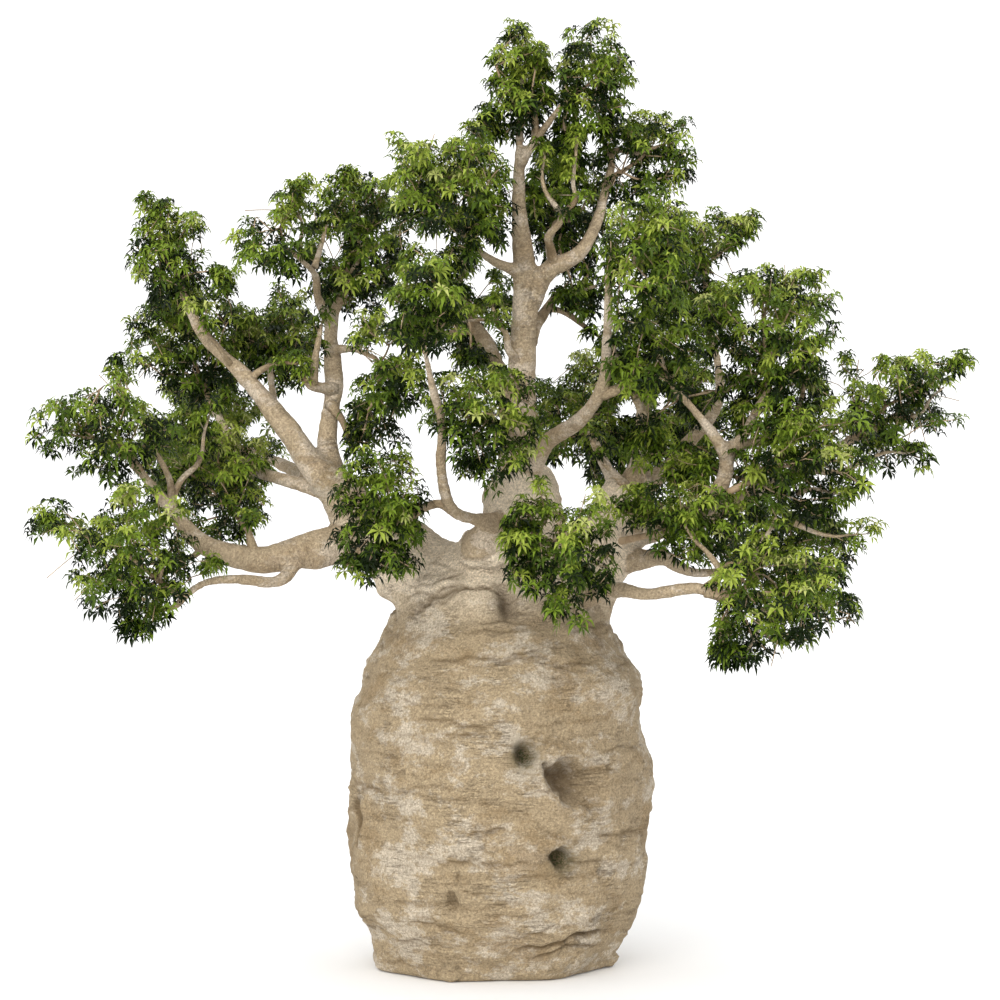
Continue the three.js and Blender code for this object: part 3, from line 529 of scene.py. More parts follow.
points, quads, tris, start = [skin], [belly_faces], [caps], len(skin)
for i, (centres, radii) in enumerate(lines + [(burl, burl_radii)]):
    sizes = np.array(radii, dtype=float)
    if plain_boles <= i < len(lines):
        past = np.clip(ways_along(centres) - buried * sizes[0], 0, None)
        sizes *= stoutness + base_flare * np.exp(-past / (flare_reach * sizes[0]))
    p, q, t = tube(centres, sizes, bole_sides if i < plain_boles else bough_sides)
    points.append(p)
    quads.append(q + start)
    tris.append(t + start)
    start += len(p)
rough = bpy.data.meshes.new("rough")
rough.from_pydata((np.vstack(points) / 1000).tolist(), [],
                  np.vstack(quads).tolist() + np.vstack(tris).tolist())
rough_tree = bpy.data.objects.new("rough_tree", rough)
bpy.context.collection.objects.link(rough_tree)
print(len(lines), "limbs thrown together with the belly:", start, "points")

# %% [markdown]
# ### One skin round it all
#
# The remesh lays small square faces over everything that the rough tubes fill, and drops
# what lies inside. It could be done by joining solids one by one, but a voxel wrap never
# fails where tubes just graze each other. The voxel is as small as the count allows.

# %% The voxel skin
voxel = 27
wrap = rough_tree.modifiers.new("wrap", "REMESH")
wrap.mode = "VOXEL"
wrap.voxel_size = voxel / 1000
wrapped = rough_tree.evaluated_get(bpy.context.evaluated_depsgraph_get()).to_mesh()
count = len(wrapped.vertices)
bark = np.empty(count * 3)
wrapped.vertices.foreach_get("co", bark)
bark = bark.reshape(-1, 3) * 1000
quads = np.empty(len(wrapped.polygons) * 4, dtype=np.int32)
wrapped.polygons.foreach_get("vertices", quads)
quads = quads.reshape(-1, 4)
rough_tree.to_mesh_clear()
bpy.data.objects.remove(rough_tree)
print("skin of", count, "points and", len(quads), "faces")

# %% Which limb each point of the skin is on
batch = 20000
belly_reach, belly_girth = 40, 1400

centres = np.vstack([c for c, _ in lines])
radii = np.concatenate([r for _, r in lines])
ring_limb = np.concatenate([np.full(len(c), i) for i, (c, _) in enumerate(lines)])
ring_way = np.concatenate([ways_along(c) for c, _ in lines])
ring_along = np.vstack([frames_along(c)[0] for c, _ in lines])

nearest = np.empty(count, dtype=int)
gap = np.empty(count)
for a in range(0, count, batch):
    part = bark[a:a + batch]
    squared = (part ** 2).sum(1)[:, None] + (centres ** 2).sum(1)[None] - 2 * part @ centres.T
    distance = np.sqrt(np.clip(squared, 0, None)) - radii
    nearest[a:a + batch] = distance.argmin(1)
    gap[a:a + batch] = distance.min(1)
middle, half_width, half_depth = belly_at(bark[:, 2])
from_belly = (np.hypot((bark[:, 0] - middle) / half_width, bark[:, 1] / half_depth) - 1) * half_depth
from_belly += np.clip(bark[:, 2] - belly_top, 0, None)
on_belly = from_belly < np.minimum(gap, belly_reach)
girth = np.where(on_belly, belly_girth, radii[nearest])
limb_of = np.where(on_belly, -1, ring_limb[nearest])
offset = bark - centres[nearest]
beyond = (offset * ring_along[nearest]).sum(1)
offset -= beyond[:, None] * ring_along[nearest]
way_along = ring_way[nearest] + beyond
print(int(on_belly.sum()), "points on the belly,", int((~on_belly).sum()), "on limbs")

# %% Smooth the forks
smooth_rounds, smooth_pull = 14, 0.6
least_girth, girth_range, least_softness = 25, 110, 0.12

edges = np.vstack([quads[:, [0, 1]], quads[:, [1, 2]], quads[:, [2, 3]], quads[:, [3, 0]]])
one_end, other_end = edges.T
degree = np.bincount(one_end, minlength=count) + np.bincount(other_end, minlength=count)


def settled(values):
    """Each point's value drawn to the mean of its neighbours."""
    if values.ndim > 1:
        return np.stack([settled(values[:, k]) for k in range(values.shape[1])], axis=1)
    total = np.bincount(one_end, values[other_end], count) + np.bincount(other_end, values[one_end], count)
    return total / degree


softness = np.clip((girth - least_girth) / girth_range, least_softness, 1)[:, None]
for _ in range(smooth_rounds):
    bark = bark + softness * smooth_pull * (settled(bark) - bark)
bark[:, 2] = np.clip(bark[:, 2], 0, None)


def facing(points):
    """The way out of the skin at each point."""
    cross = np.cross(points[quads[:, 2]] - points[quads[:, 0]], points[quads[:, 3]] - points[quads[:, 1]])
    out = np.stack([sum(np.bincount(quads[:, c], cross[:, k], count) for c in range(4)) for k in range(3)],
                   axis=1)
    return out / np.linalg.norm(out, axis=1)[:, None]


outward = facing(bark)
print("forks smoothed, skin reaches", bark.min(0).round(), bark.max(0).round())

# %% [markdown]
# ## Relief of the bark
#
# Old baobab bark is a record of how the trunk has swelled and sagged: long level wrinkles,
# folds under the boles, and hollows where limbs once were. A sculptor would push these into
# the skin with a brush. Here a few named marks do it, each a depth that fades with the
# distance from a line or a spot, and a soft random field does the rest.

# %% A soft random field
def field(points, size, seed=0):
    """Smooth random heights from -1 to 1, with about one bump to each size in mm."""
    p = points / np.asarray(size, dtype=float) + 17.31 * (seed + 1)
    base = np.floor(p).astype(np.int64)
    f = p - base
    f = f * f * (3 - 2 * f)
    total = np.zeros(len(points))
    for corner in range(8):
        step = np.array([corner & 1, corner >> 1 & 1, corner >> 2 & 1])
        c = base + step
        # The large primes only scramble a corner's place into a height of its own.
        mixed = (c[:, 0] * 73856093) ^ (c[:, 1] * 19349663) ^ (c[:, 2] * 83492791)
        mixed = (mixed ^ (mixed >> 13)) * 1274126177
        height = ((mixed ^ (mixed >> 16)) & 0xffff) / 32767.5 - 1
        total += np.prod(np.where(step, f, 1 - f), axis=1) * height
    return total


trial = field(bark[:2000], 300)
print("field from", trial.min().round(2), "to", trial.max().round(2))

# %% [markdown]
# ### Hollows
#
# A hollow is a scar where a limb rotted away: a bowl with a rolled lip. Its colour is
# darkened with painted shade, darkest on its upper left where no light falls in, and fading
# in a soft ring round it. A cutter would leave a hard rim, so each point near a hollow is
# pushed in by a soft bowl. The painted shade on each point is kept as `shade`.

# %% Hollows
# Seen x and z, half width, half height, slant in degrees, depth, how sharp the lip is.
hollows = [
    [880, 1800, 375, 225, -33, 300, 0.6],
    [350, 2110, 140, 150, 20, 210, 0.15],
    [735, 1060, 125, 125, 0, 190, 0.3],
    [170, 3650, 130, 230, 6, 200, 0.0],
    [-370, 650, 70, 110, 15, 90, 0.4],
    [-320, 860, 26, 90, 4, 60, 0.3],
    [1110, 950, 45, 40, 0, 50, 0.3],
    [1200, 1975, 45, 35, 0, 50, 0.3],
]
lip_way = math.radians(195)
lip_height, raggedness, rag_size, dark_depth = 14, 0.2, 90, 200
bowl_steepness, lip_steepness, bowl_power = 1.5, 4.5, 1.15
rim_at, rim_width, halo_share, halo_reach = 1.12, 0.16, 0.3, 1.5
dark_middle, dark_slope, dark_least = 0.8, 0.6, 0.2

front = bark[:, 1] < 0
seen_x, seen_z = as_seen(bark)
ragged = 1 + raggedness * field(bark, rag_size, 3)
dent = np.zeros(count)
shade = np.zeros(count)
for x, z, half_w, half_h, slant, depth, sharp in hollows:
    turn = math.radians(slant)
    u = (seen_x - x) * math.cos(turn) + (seen_z - z) * math.sin(turn)
    v = -(seen_x - x) * math.sin(turn) + (seen_z - z) * math.cos(turn)
    out = np.hypot(u / half_w, v / half_h) * ragged
    lip = np.clip(0.5 + 0.5 * np.cos(np.arctan2(v, u) - lip_way), 0, 1) * sharp
    steep = bowl_steepness + lip_steepness * lip
    bowl = np.where(front & (out < 1), 1 - np.clip(out, 0, 1) ** steep, 0)
    rim = np.where(front, np.exp(-((out - rim_at) / rim_width) ** 2), 0) * sharp * lip_height
    dent += depth * bowl ** bowl_power - rim
    # Painted shade: darkest on the side of the hollow that the light does not reach, with a soft painted
    # ring of shade round it.
    darkest = np.clip(dark_middle - dark_slope * u / half_w, dark_least, 1)
    halo = np.where(front, halo_share * np.exp(-(out / halo_reach) ** 2), 0)
    shade = np.maximum(shade, np.maximum(bowl * darkest, halo) * min(depth / dark_depth, 1))
print(len(hollows), "hollows, the deepest", round(dent.max()), "mm")

# %% [markdown]
# ### Wrinkles
#
# The long creases that show in front have places of their own and are noted as lines. The
# many small ones are scattered all round by seeded numbers, as no eye could place them.
# Each is a groove with a soft swelling beside it, and its line wanders as a drawn one does.

# %% Wrinkles that show from the front
# Seen start and end, width and depth of each.
wrinkles = [
    [-780, 3080, 700, 3050, 16, 22], [-500, 3010, 350, 3000, 12, 12], [150, 3090, 520, 3120, 14, 24],
    [-820, 2480, 30, 2370, 18, 22], [-700, 2300, 120, 2340, 12, 12], [-950, 2660, -350, 2560, 14, 14],
    [-240, 1330, 210, 1330, 20, 22], [-180, 1280, 220, 1380, 14, 14], [-640, 1040, 640, 990, 16, 20],
    [-580, 960, 60, 1010, 12, 14], [-320, 730, -20, 715, 14, 22], [-620, 800, -100, 830, 12, 12],
    [210, 120, 1230, 370, 22, 40], [330, 60, 1160, 240, 16, 28], [120, 260, 900, 420, 14, 16],
    [-900, 420, -200, 330, 18, 20], [-1050, 250, -300, 170, 14, 16], [500, 2900, 760, 2870, 16, 14],
    [520, 2250, 900, 2290, 12, 10], [-1050, 1750, -260, 1790, 16, 16], [200, 1600, 420, 1480, 16, 18],
    [-220, 3840, -860, 3490, 26, 26], [-200, 3810, -560, 3560, 14, 12], [-240, 3880, -1010, 3760, 14, 14],
    [-230, 3900, -1000, 3930, 13, 13], [-260, 3930, -900, 4100, 12, 12], [-260, 3850, -930, 3640, 13, 13],
    [-250, 3900, -960, 3850, 11, 10], [-260, 3920, -940, 4010, 11, 10], [-240, 3860, -880, 3560, 12, 12],
    [-1300, 1720, -1340, 1150, 26, 46], [280, 4050, 560, 3850, 16, 14], [300, 3830, 620, 3860, 14, 12],
]
highest_wrinkle = 4300
# A groove's line strays in a broad slow wave and a small quick one: how far, and how long.
stray_wide, stray_slow, stray_small, stray_quick = 18, 95, 9, 37
end_fade, lip_away, lip_width, lip_swell = 5, 2.4, 1.5, 0.3


def groove(a, b, x, z, width):
    """How far seen points are in a wandering groove from a to b, and on its lip, from 0 to 1."""
    a, b = np.array(a, dtype=float), np.array(b, dtype=float)
    run = b - a
    length = np.hypot(*run)
    t = ((x - a[0]) * run[0] + (z - a[1]) * run[1]) / length ** 2
    off = ((x - a[0]) * run[1] - (z - a[1]) * run[0]) / length
    off = off + stray_wide * np.sin(t * length / stray_slow + a[1]) \
        + stray_small * np.sin(t * length / stray_quick + a[0])
    ends = np.clip(np.minimum(t, 1 - t) * end_fade, 0, 1)
    inside = np.where((t > 0) & (t < 1), ends, 0)
    lip = np.exp(-((off + lip_away * width) / (lip_width * width)) ** 2)
    return inside * np.exp(-(off / width) ** 2), inside * lip


crease = np.zeros(count)
swell = np.zeros(count)
low = front & (seen_z < highest_wrinkle)
for x0, z0, x1, z1, width, depth in wrinkles:
    cut, lip = groove((x0, z0), (x1, z1), seen_x[low], seen_z[low], width)
    crease[low] += depth * cut
    swell[low] += lip_swell * depth * lip
print(len(wrinkles), "wrinkles from the front")

# %% Wrinkles all round
ring_count = 260
ring_heights, ring_band = (60, 4000), 160
ring_reaches, ring_tilts, ring_widths, ring_depths = (0.08, 0.38), (-60, 60), (8, 18), (5, 17)
ring_stray, ring_waves, ring_fade = 14, 19, 3
ring_lip_away, ring_lip_width, ring_lip_swell = 2, 1.6, 0.35
turn_of = np.arctan2(bark[:, 1] / half_depth, (bark[:, 0] - middle) / half_width)
wander = np.random.default_rng(11)
for _ in range(ring_count):
    at_turn, at_height = wander.uniform(-np.pi, np.pi), wander.uniform(*ring_heights)
    reach, tilt = wander.uniform(*ring_reaches), wander.uniform(*ring_tilts)
    width, depth = wander.uniform(*ring_widths), wander.uniform(*ring_depths)
    across = (turn_of - at_turn + np.pi) % (2 * np.pi) - np.pi
    near = on_belly & (np.abs(across) < reach) & (np.abs(bark[:, 2] - at_height) < ring_band)
    off = bark[near, 2] - at_height - tilt * across[near] / reach
    off -= ring_stray * np.sin(across[near] * ring_waves + at_height)
    fade = np.clip((1 - np.abs(across[near]) / reach) * ring_fade, 0, 1)
    crease[near] += depth * fade * np.exp(-(off / width) ** 2)
    lip = np.exp(-((off + ring_lip_away * width) / (ring_lip_width * width)) ** 2)
    swell[near] += ring_lip_swell * depth * fade * lip
print(ring_count, "more all round")

# %% Put the relief on
# Lumps and sags of the belly and of the limbs, then rings round the limbs: height of a bump,
# its size in mm along three ways, and a seed.
belly_bumps = [(36, (520, 520, 380), 1), (22, (230, 230, 120), 2),
               (9, (420, 420, 46), 5), (4, (150, 150, 26), 6)]
limb_lump, fine_ring, highest_ring, broad_ring = 0.16, 0.05, 9, 0.035
foot_fade = 40

belly_relief = sum(high * field(bark, size, seed) for high, size, seed in belly_bumps)
along_limb = np.stack([way_along, offset[:, 0] * 0.4, offset[:, 1] * 0.4], axis=1) + 900 * limb_of[:, None]
limb_relief = limb_lump * girth * field(bark, 230, 4)
limb_relief += np.minimum(fine_ring * girth, highest_ring) * field(along_limb, (38, 160, 160), 7)
limb_relief += broad_ring * girth * field(along_limb, (110, 90, 90), 8)
height = np.where(on_belly, belly_relief, limb_relief) + swell - crease - dent
height *= np.clip(bark[:, 2] / foot_fade, 0, 1)
bark_out = bark + outward * height[:, None]
bark_out[:, 2] = np.clip(bark_out[:, 2], 0, None)
print("relief from", round(height.min()), "to", round(height.max()), "mm")

# %% [markdown]
# ## Trunk and boughs as two pieces
#
# The skin is one surface, but the library wants the trunk and the boughs apart. Faces go to
# one piece or the other by the limb that their corners lie on. What the finish must know
# of a place, such as how deep it lies in a crease, is kept as marks on the points, so that
# it stays on the bark from every side.

# %% Marks for the finish
# How deep a crease is, in mm, when the painted shade laid in it is full.
crease_for_full_shade, grain_squeeze_belly, grain_squeeze_limb = 26, 0.25, 0.5
# Paler crust, partly the bark's own and partly painted light on boles the crown shades: start, rise and
# share on boughs.
pale_light_from, pale_light_range, pale_light_bough = 3400, 500, 0.12
left_bole_pale_top = 4700
moss_drop, moss_spread = 30, 0.9

grain = np.where(on_belly[:, None],
                 bark[:, [2, 0, 1]] * [1, grain_squeeze_belly, grain_squeeze_belly],
                 np.stack([way_along, offset[:, 0] * grain_squeeze_limb, offset[:, 1] * grain_squeeze_limb],
                          axis=1)) / 1000
moss = np.zeros(count)
for x, z, half_w, half_h, *_ in hollows[1:3]:
    out = np.hypot((seen_x - x) / half_w, (seen_z - z + moss_drop) / half_h)
    moss = np.maximum(moss, np.where(front, np.exp(-(out / moss_spread) ** 2), 0))
# Paler bark above the belly, partly real whitish crust and partly painted light; it fades out up the left
# bole.
pale_bark_and_painted_light = np.where(limb_of < plain_boles, np.clip((bark[:, 2] - pale_light_from) / pale_light_range, 0, 1), pale_light_bough)
left_bole = limb_of == 0
pale_bark_and_painted_light[left_bole] *= np.clip((left_bole_pale_top - bark[left_bole, 2]) / pale_light_range, 0, 1)
worn = {"grain": grain, "moss": moss, "shade": shade,
        "crease": np.clip(crease / crease_for_full_shade, 0, 1), "pale_bark_and_painted_light": pale_bark_and_painted_light}
print("marks", *worn)

# %% Trunk and boughs as two pieces
def piece_of_skin(name, keep):
    """The faces of the skin that are kept, as a piece with its marks on its points."""
    used, faces = np.unique(quads[keep], return_inverse=True)
    faces = faces.reshape(-1, 4)
    made = make_mesh(name, bark_out[used], faces)
    for label, values in worn.items():
        kind, slot = ("FLOAT_VECTOR", "vector") if values.ndim > 1 else ("FLOAT", "value")
        layer = made.data.attributes.new(label, kind, "POINT")
        layer.data.foreach_set(slot, np.ascontiguousarray(values[used], dtype=np.float32).ravel())
    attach(made, "root")
    print(name, len(faces) * 2, "triangles")
    return made


is_trunk = (limb_of < plain_boles)[quads].all(axis=1)
trunk_skin = piece_of_skin("trunk_skin", is_trunk)
bough_skin = piece_of_skin("bough_skin", ~is_trunk)
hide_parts("trunk")
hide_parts(*["bough_" + limb["name"] for limb in boughs])

# %% [markdown]
# ## The finish of the bark
#
# Baobab bark is thin and smooth to the hand, pale beige with whitish scales and tan stains,
# cracked into small plates, and drawn out along the wrinkles. A photograph could be wrapped
# round it, but node patterns have no seam on a shape like this. Their coordinates are the
# `grain` marks: height on the belly and length along each limb come first, so that every
# pattern can be squeezed in that one way and lie level on the trunk and ringwise on a limb.

# %% Small helpers for node patterns
def feed(tree, socket, value):
    """Links another node's socket to this one, or sets it to a number, a vector or a colour."""
    if isinstance(value, bpy.types.NodeSocket):
        tree.links.new(value, socket)
    else:
        socket.default_value = (*value, 1) if socket.type == "RGBA" else value


def add(tree, kind, **values):
    """A new node, its inputs and settings given by name."""
    node = tree.nodes.new(kind)
    for key, value in values.items():
        if key in node.inputs:
            feed(tree, node.inputs[key], value)
        else:
            setattr(node, key, value)
    return node


def blend_colour(tree, share, first, second, way="MIX"):
    """A colour mixed from two, each a socket or a colour."""
    mix = add(tree, "ShaderNodeMix", data_type="RGBA", blend_type=way)
    for number, value in ((0, share), (6, first), (7, second)):
        feed(tree, mix.inputs[number], value)
    return mix.outputs[2]


def mark(tree, name, kind="Fac"):
    """A mark of the skin's points, as a socket."""
    return add(tree, "ShaderNodeAttribute", attribute_name=name).outputs[kind]


def squeezed(tree, source, scale):
    """Coordinates scaled by a different number each way."""
    return add(tree, "ShaderNodeMapping", Vector=source, Scale=scale).outputs[0]


def shifted(tree, where, by):
    """Coordinates moved by a vector or by another node's."""
    node = add(tree, "ShaderNodeVectorMath", operation="ADD", Vector=where)
    feed(tree, node.inputs[1], by)
    return node.outputs[0]


def pattern(tree, where, scale, detail=4.0, roughness=0.55, offset=0.0):
    """Cloudy noise from 0 to 1."""
    moved = shifted(tree, where, (offset, offset, offset))
    return add(tree, "ShaderNodeTexNoise", Vector=moved, Scale=scale, Detail=detail,
               Roughness=roughness).outputs["Fac"]


def window(tree, source, low, high, start=0.0, end=1.0):
    """A value spread from low..high onto start..end."""
    return add(tree, "ShaderNodeMapRange", clamp=True, Value=source,
               **{"From Min": low, "From Max": high, "To Min": start, "To Max": end}).outputs[0]


def sums(tree, operation, first, second):
    """One sum of two values, each a socket or a number."""
    node = add(tree, "ShaderNodeMath", operation=operation)
    feed(tree, node.inputs[0], first)
    feed(tree, node.inputs[1], second)
    return node.outputs[0]


def bump(tree, shader, height, strength, distance):
    """Fine relief that only the light sees."""
    relief = add(tree, "ShaderNodeBump", Height=height, Strength=strength, Distance=distance)
    tree.links.new(relief.outputs[0], shader.inputs["Normal"])


print("helpers for patterns ready")

# %% Bark patterns
def seams(tree, where):
    """1 on the crooked seams between small plates of bark."""
    bend = pattern(tree, where, 9, 3, 0.6, 3.0)
    crooked = add(tree, "ShaderNodeVectorMath", operation="SCALE", Vector=bend, Scale=0.35).outputs[0]
    plates = add(tree, "ShaderNodeTexVoronoi", feature="DISTANCE_TO_EDGE", Scale=24,
                 Vector=squeezed(tree, shifted(tree, where, crooked), (1, 1, 1.5)))
    return window(tree, plates.outputs["Distance"], 0.0, 0.13, 1.0, 0.0)


def level_cracks(tree, where, level):
    """1 on thin cracks that follow the rings and are broken off in most places."""
    crack = window(tree, sums(tree, "ABSOLUTE", sums(tree, "SUBTRACT", level, 0.5), 0), 0.0, 0.02, 1.0, 0.0)
    broken = window(tree, pattern(tree, where, 3.4, 4, 0.55, 4.0), 0.5, 0.6)
    return sums(tree, "MULTIPLY", crack, broken)


def grey(tree, value):
    """A value as a grey colour."""
    tone = add(tree, "ShaderNodeCombineColor")
    for socket in tone.inputs:
        tree.links.new(value, socket)
    return tone.outputs[0]


print("seams, cracks and greys ready")

# %% Bark finishes
pore_brown, seam_brown, crack_brown = (0.17, 0.115, 0.06), (0.17, 0.115, 0.065), (0.13, 0.085, 0.045)
# Painted shade: the two dark browns laid in creases and in hollows stand for the shade that falls in them.
painted_crease_shade, painted_hollow_shade, moss_green = (0.13, 0.085, 0.04), (0.07, 0.043, 0.02), (0.03, 0.042, 0.009)
# Painted light: the pale crust is brighter than the whitish crust, to lift the boles that the crown shades.
pale_light_boost = 1.55


def bark_finish(name, base, white, tan, ring_scale, ring_share, bump_height):
    """Bark of a base colour with whitish crust, tan stains, rings, cracks, seams, pores and painted shade
    and light.
    """
    made, tree, shader = new_finish(name, 0.88, 0.2)
    grain_at = mark(tree, "grain", "Vector")
    object_at = add(tree, "ShaderNodeTexCoord").outputs["Object"]
    patches = pattern(tree, squeezed(tree, object_at, (1, 1, 1.6)), 1.9, 12, 0.72)
    stains = pattern(tree, squeezed(tree, object_at, (1, 1, 1.5)), 1.5, 12, 0.7, 9.0)
    speckle = pattern(tree, object_at, 46, 3, 0.65)
    pores = pattern(tree, squeezed(tree, object_at, (1, 1, 1.8)), 17, 5, 0.75, 6.0)
    level = pattern(tree, squeezed(tree, grain_at, (ring_scale, 8, 8)), 1.0, 4, 0.62)
    seam, crack = seams(tree, object_at), level_cracks(tree, object_at, level)

    def share_of(value, share):
        return sums(tree, "MULTIPLY", value, share)

    # From the ground colour up: what is laid on, where, and in what colour.
    # Painted light mixed into the real pale crust of the upper boles.
    pale_light_share = share_of(mark(tree, "pale_bark_and_painted_light"), window(tree, patches, 0.38, 0.6, 0.7, 1.0))
    moss_share = share_of(mark(tree, "moss"), window(tree, speckle, 0.4, 0.56))
    colour = base
    for share, laid_on, way in (
            (window(tree, patches, 0.5, 0.56), white, "MIX"),
            (window(tree, stains, 0.53, 0.6, 0.0, 0.75), tan, "MIX"),
            (pale_light_share, tuple(pale_light_boost * part for part in white), "MIX"),
            (1.0, grey(tree, window(tree, speckle, 0.36, 0.64, 0.72, 1.22)), "MULTIPLY"),
            (window(tree, pores, 0.36, 0.45, 0.34, 0.0), pore_brown, "MIX"),
            (share_of(seam, 0.3), seam_brown, "MIX"),
            (share_of(crack, 0.5), crack_brown, "MIX"),
            # Painted shade in the creases.
            (share_of(mark(tree, "crease"), 0.8), painted_crease_shade, "MIX"),
            # Painted shade in the hollows.
            (share_of(mark(tree, "shade"), 0.85), painted_hollow_shade, "MIX"),
            (moss_share, moss_green, "MIX")):
        colour = blend_colour(tree, share, colour, laid_on, way)
    tree.links.new(colour, shader.inputs["Base Color"])

    height = share_of(speckle, 0.7)
    for value, share in ((pores, 1.1), (patches, 0.8), (seam, -0.25), (crack, -0.4), (level, ring_share)):
        height = sums(tree, "ADD", height, share_of(value, share))
    bump(tree, shader, height, 0.9, bump_height)
    return made


trunk_bark = bark_finish("trunk_bark_finish", (0.4, 0.312, 0.196), (0.54, 0.465, 0.36),
                         (0.31, 0.225, 0.125), 26, 0.25, 0.02)
bough_bark = bark_finish("bough_bark_finish", (0.43, 0.335, 0.215), (0.58, 0.49, 0.38),
                         (0.3, 0.215, 0.12), 36, 0.9, 0.016)
trunk_skin.data.materials.append(trunk_bark)
bough_skin.data.materials.append(bough_bark)
print("bark finishes", trunk_bark.name, bough_bark.name)

# %% [markdown]
# ## How the crown grows
#
# The plain model grows each mass by a rule: fans of leaves are laid over the skin of the
# mass's space, and twigs then find the shortest way home to the stem. The same rule is
# written here again, with the same seeded numbers, so its twigs lie where the solids' do.
# It is then carried on: many finer tips are scattered through the space, and each joins
# the twig that gives it the shortest way home.

# %% Seeded numbers
first_seed = 20
whole = 0xffffffff


def seeded(seed):
    """Random numbers that come out the same as the plain model's."""
    state = [seed & whole]

    def draw():
        state[0] = (state[0] + 0x6d2b79f5) & whole
        t = ((state[0] ^ state[0] >> 15) * (state[0] | 1)) & whole
        t = (t + ((t ^ t >> 7) * (t | 61) & whole) & whole) ^ t
        return (t ^ t >> 14) / 4294967296
    return draw


trial = seeded(1)
print("first draws of seed 1:", round(trial(), 6), round(trial(), 6))

# %% Spaces and stems
space_skin, space_margin, trunk_skin_share = 1.03, 0.05, 1.06
limb_margin, twig_tip = 14, 12
stout_bough = 100
joint_gap = 0.3
stem_reach, stem_taper = 0.36, 0.82
stem_run, stem_start, stem_elbow = 1.5, 0.94, 0.9
bole_step_far, stout_step, slim_step, stem_step = 260, 470, 350, 400


def lengths_of(owner, rings):
    """Each length of a limb between two rings: whose it is, its ends and its radii."""
    c, r = rings
    return [(owner, c[k], c[k + 1], r[k], r[k + 1]) for k in range(len(c) - 1)]


def stem_rings(limb, centre):
    """The rings of a mass's stem: straight on from the bough's tip, then towards the middle."""
    if "stem" in limb:
        c, r = rings_of(limb["stem"], stem_step)
        at, size = list(c), list(r)
    else:
        c, r = limb["rings"]
        along = (c[-1] - c[-2]) / np.linalg.norm(c[-1] - c[-2])
        at = [c[-1] + along * joint_gap, c[-1] + along * r[-1] * stem_run]
        size = [r[-1] * stem_start, r[-1] * stem_elbow]
    at.append(at[-1] + (centre - at[-1]) * stem_reach)
    size.append(size[-1] * stem_taper)
    return np.array(at), np.array(size)


space_centres = np.array([place(limb["centre"]) for limb in limbs])
space_halves = []
for limb in limbs:
    s = (viewer_distance + limb["centre"][2] * roundness) / viewer_distance
    w, h, d = limb["half"]
    space_halves.append([w * s, d * roundness, h * s])
space_halves = np.array(space_halves)

lengths = []
for rows in boles:
    lengths += lengths_of(-1, rings_of(rows, bole_step_far))
for limb in boughs:
    stout = limb["bough"][0][3] > stout_bough
    limb["rings"] = rings_of(limb["bough"], stout_step if stout else slim_step)
    lengths += lengths_of(-1, limb["rings"])
for i, limb in enumerate(limbs):
    limb["stem_rings"] = stem_rings(limb, space_centres[i])
    lengths += lengths_of(i, limb["stem_rings"])
length_owner, length_a, length_b, length_ra, length_rb = (np.array(column) for column in zip(*lengths))
print(len(lengths), "lengths of limb to keep clear of")

# %% [markdown]
# ## Gaps in the crown
#
# A living crown is not a cloud: between its masses the sky shows through, and below the
# front mass a stretch of bare bark does. The leaves could be cut away afterwards, but then
# their twigs would end in nothing. So the gaps are noted as the viewer sees them, and no
# spray is grown there.

# %% Gaps in the crown
# Seen x and z, half width and half height of each gap.
sky = [
    [-2900, 7750, 220, 140], [-2720, 7330, 130, 300], [-2280, 7320, 80, 80], [-2340, 6750, 170, 210],
    [-1580, 7170, 120, 170], [-1380, 5930, 120, 160], [-980, 6150, 200, 90], [-1840, 5450, 130, 270],
    [-3440, 5800, 140, 180], [-4250, 5950, 340, 260], [-4050, 4680, 230, 200], [-4450, 3650, 300, 380],
    [-4100, 3330, 240, 150], [170, 8150, 90, 110], [1000, 8200, 100, 80], [1350, 7930, 140, 130],
    [-550, 7200, 170, 100], [50, 7090, 130, 70], [-850, 7280, 60, 60], [-120, 6800, 90, 150],
    [1500, 6900, 130, 90], [-800, 5400, 150, 130], [-660, 5000, 90, 210], [-200, 4700, 150, 190],
    [50, 6400, 80, 150], [620, 6200, 210, 280], [950, 6300, 160, 120], [800, 4800, 210, 260],
    [1420, 5550, 120, 80], [1750, 5600, 110, 70], [2350, 6950, 150, 100], [2570, 6550, 100, 130],
    [2580, 7070, 170, 100], [3450, 5800, 90, 90], [3400, 6070, 110, 90], [3770, 6000, 60, 130],
    [3400, 4830, 130, 60], [3550, 4530, 120, 80], [3720, 4130, 130, 90], [3600, 3150, 400, 250],
    [3000, 2970, 300, 190], [2130, 3530, 170, 200], [4550, 5100, 230, 190], [4150, 4800, 350, 180],
    [600, 4350, 100, 90], [-1900, 4570, 320, 210], [370, 3480, 170, 230], [-600, 8330, 330, 110],
    [-2370, 7600, 170, 90], [3050, 7020, 250, 80], [-4350, 5020, 250, 80], [-4300, 4050, 160, 190],
    [4640, 5650, 110, 150], [4230, 5270, 130, 60], [-3960, 5730, 150, 90], [-2370, 5320, 120, 70],
    [-2850, 4470, 170, 100], [-3270, 5560, 110, 120], [-1180, 6080, 140, 60], [600, 5880, 120, 60],
    [-250, 8850, 190, 170],
]
sky_edge = 45


def in_sky(points):
    """Which points a viewer in front would see inside a gap."""
    x, z = as_seen(points)
    found = np.zeros(len(points), dtype=bool)
    for gap_x, gap_z, half_w, half_h in sky:
        found |= ((x - gap_x) / (half_w + sky_edge)) ** 2 + ((z - gap_z) / (half_h + sky_edge)) ** 2 < 1
    return found


print(len(sky), "gaps in the crown")

# %% What is free
near_reach, near_extra = 1.2, 150


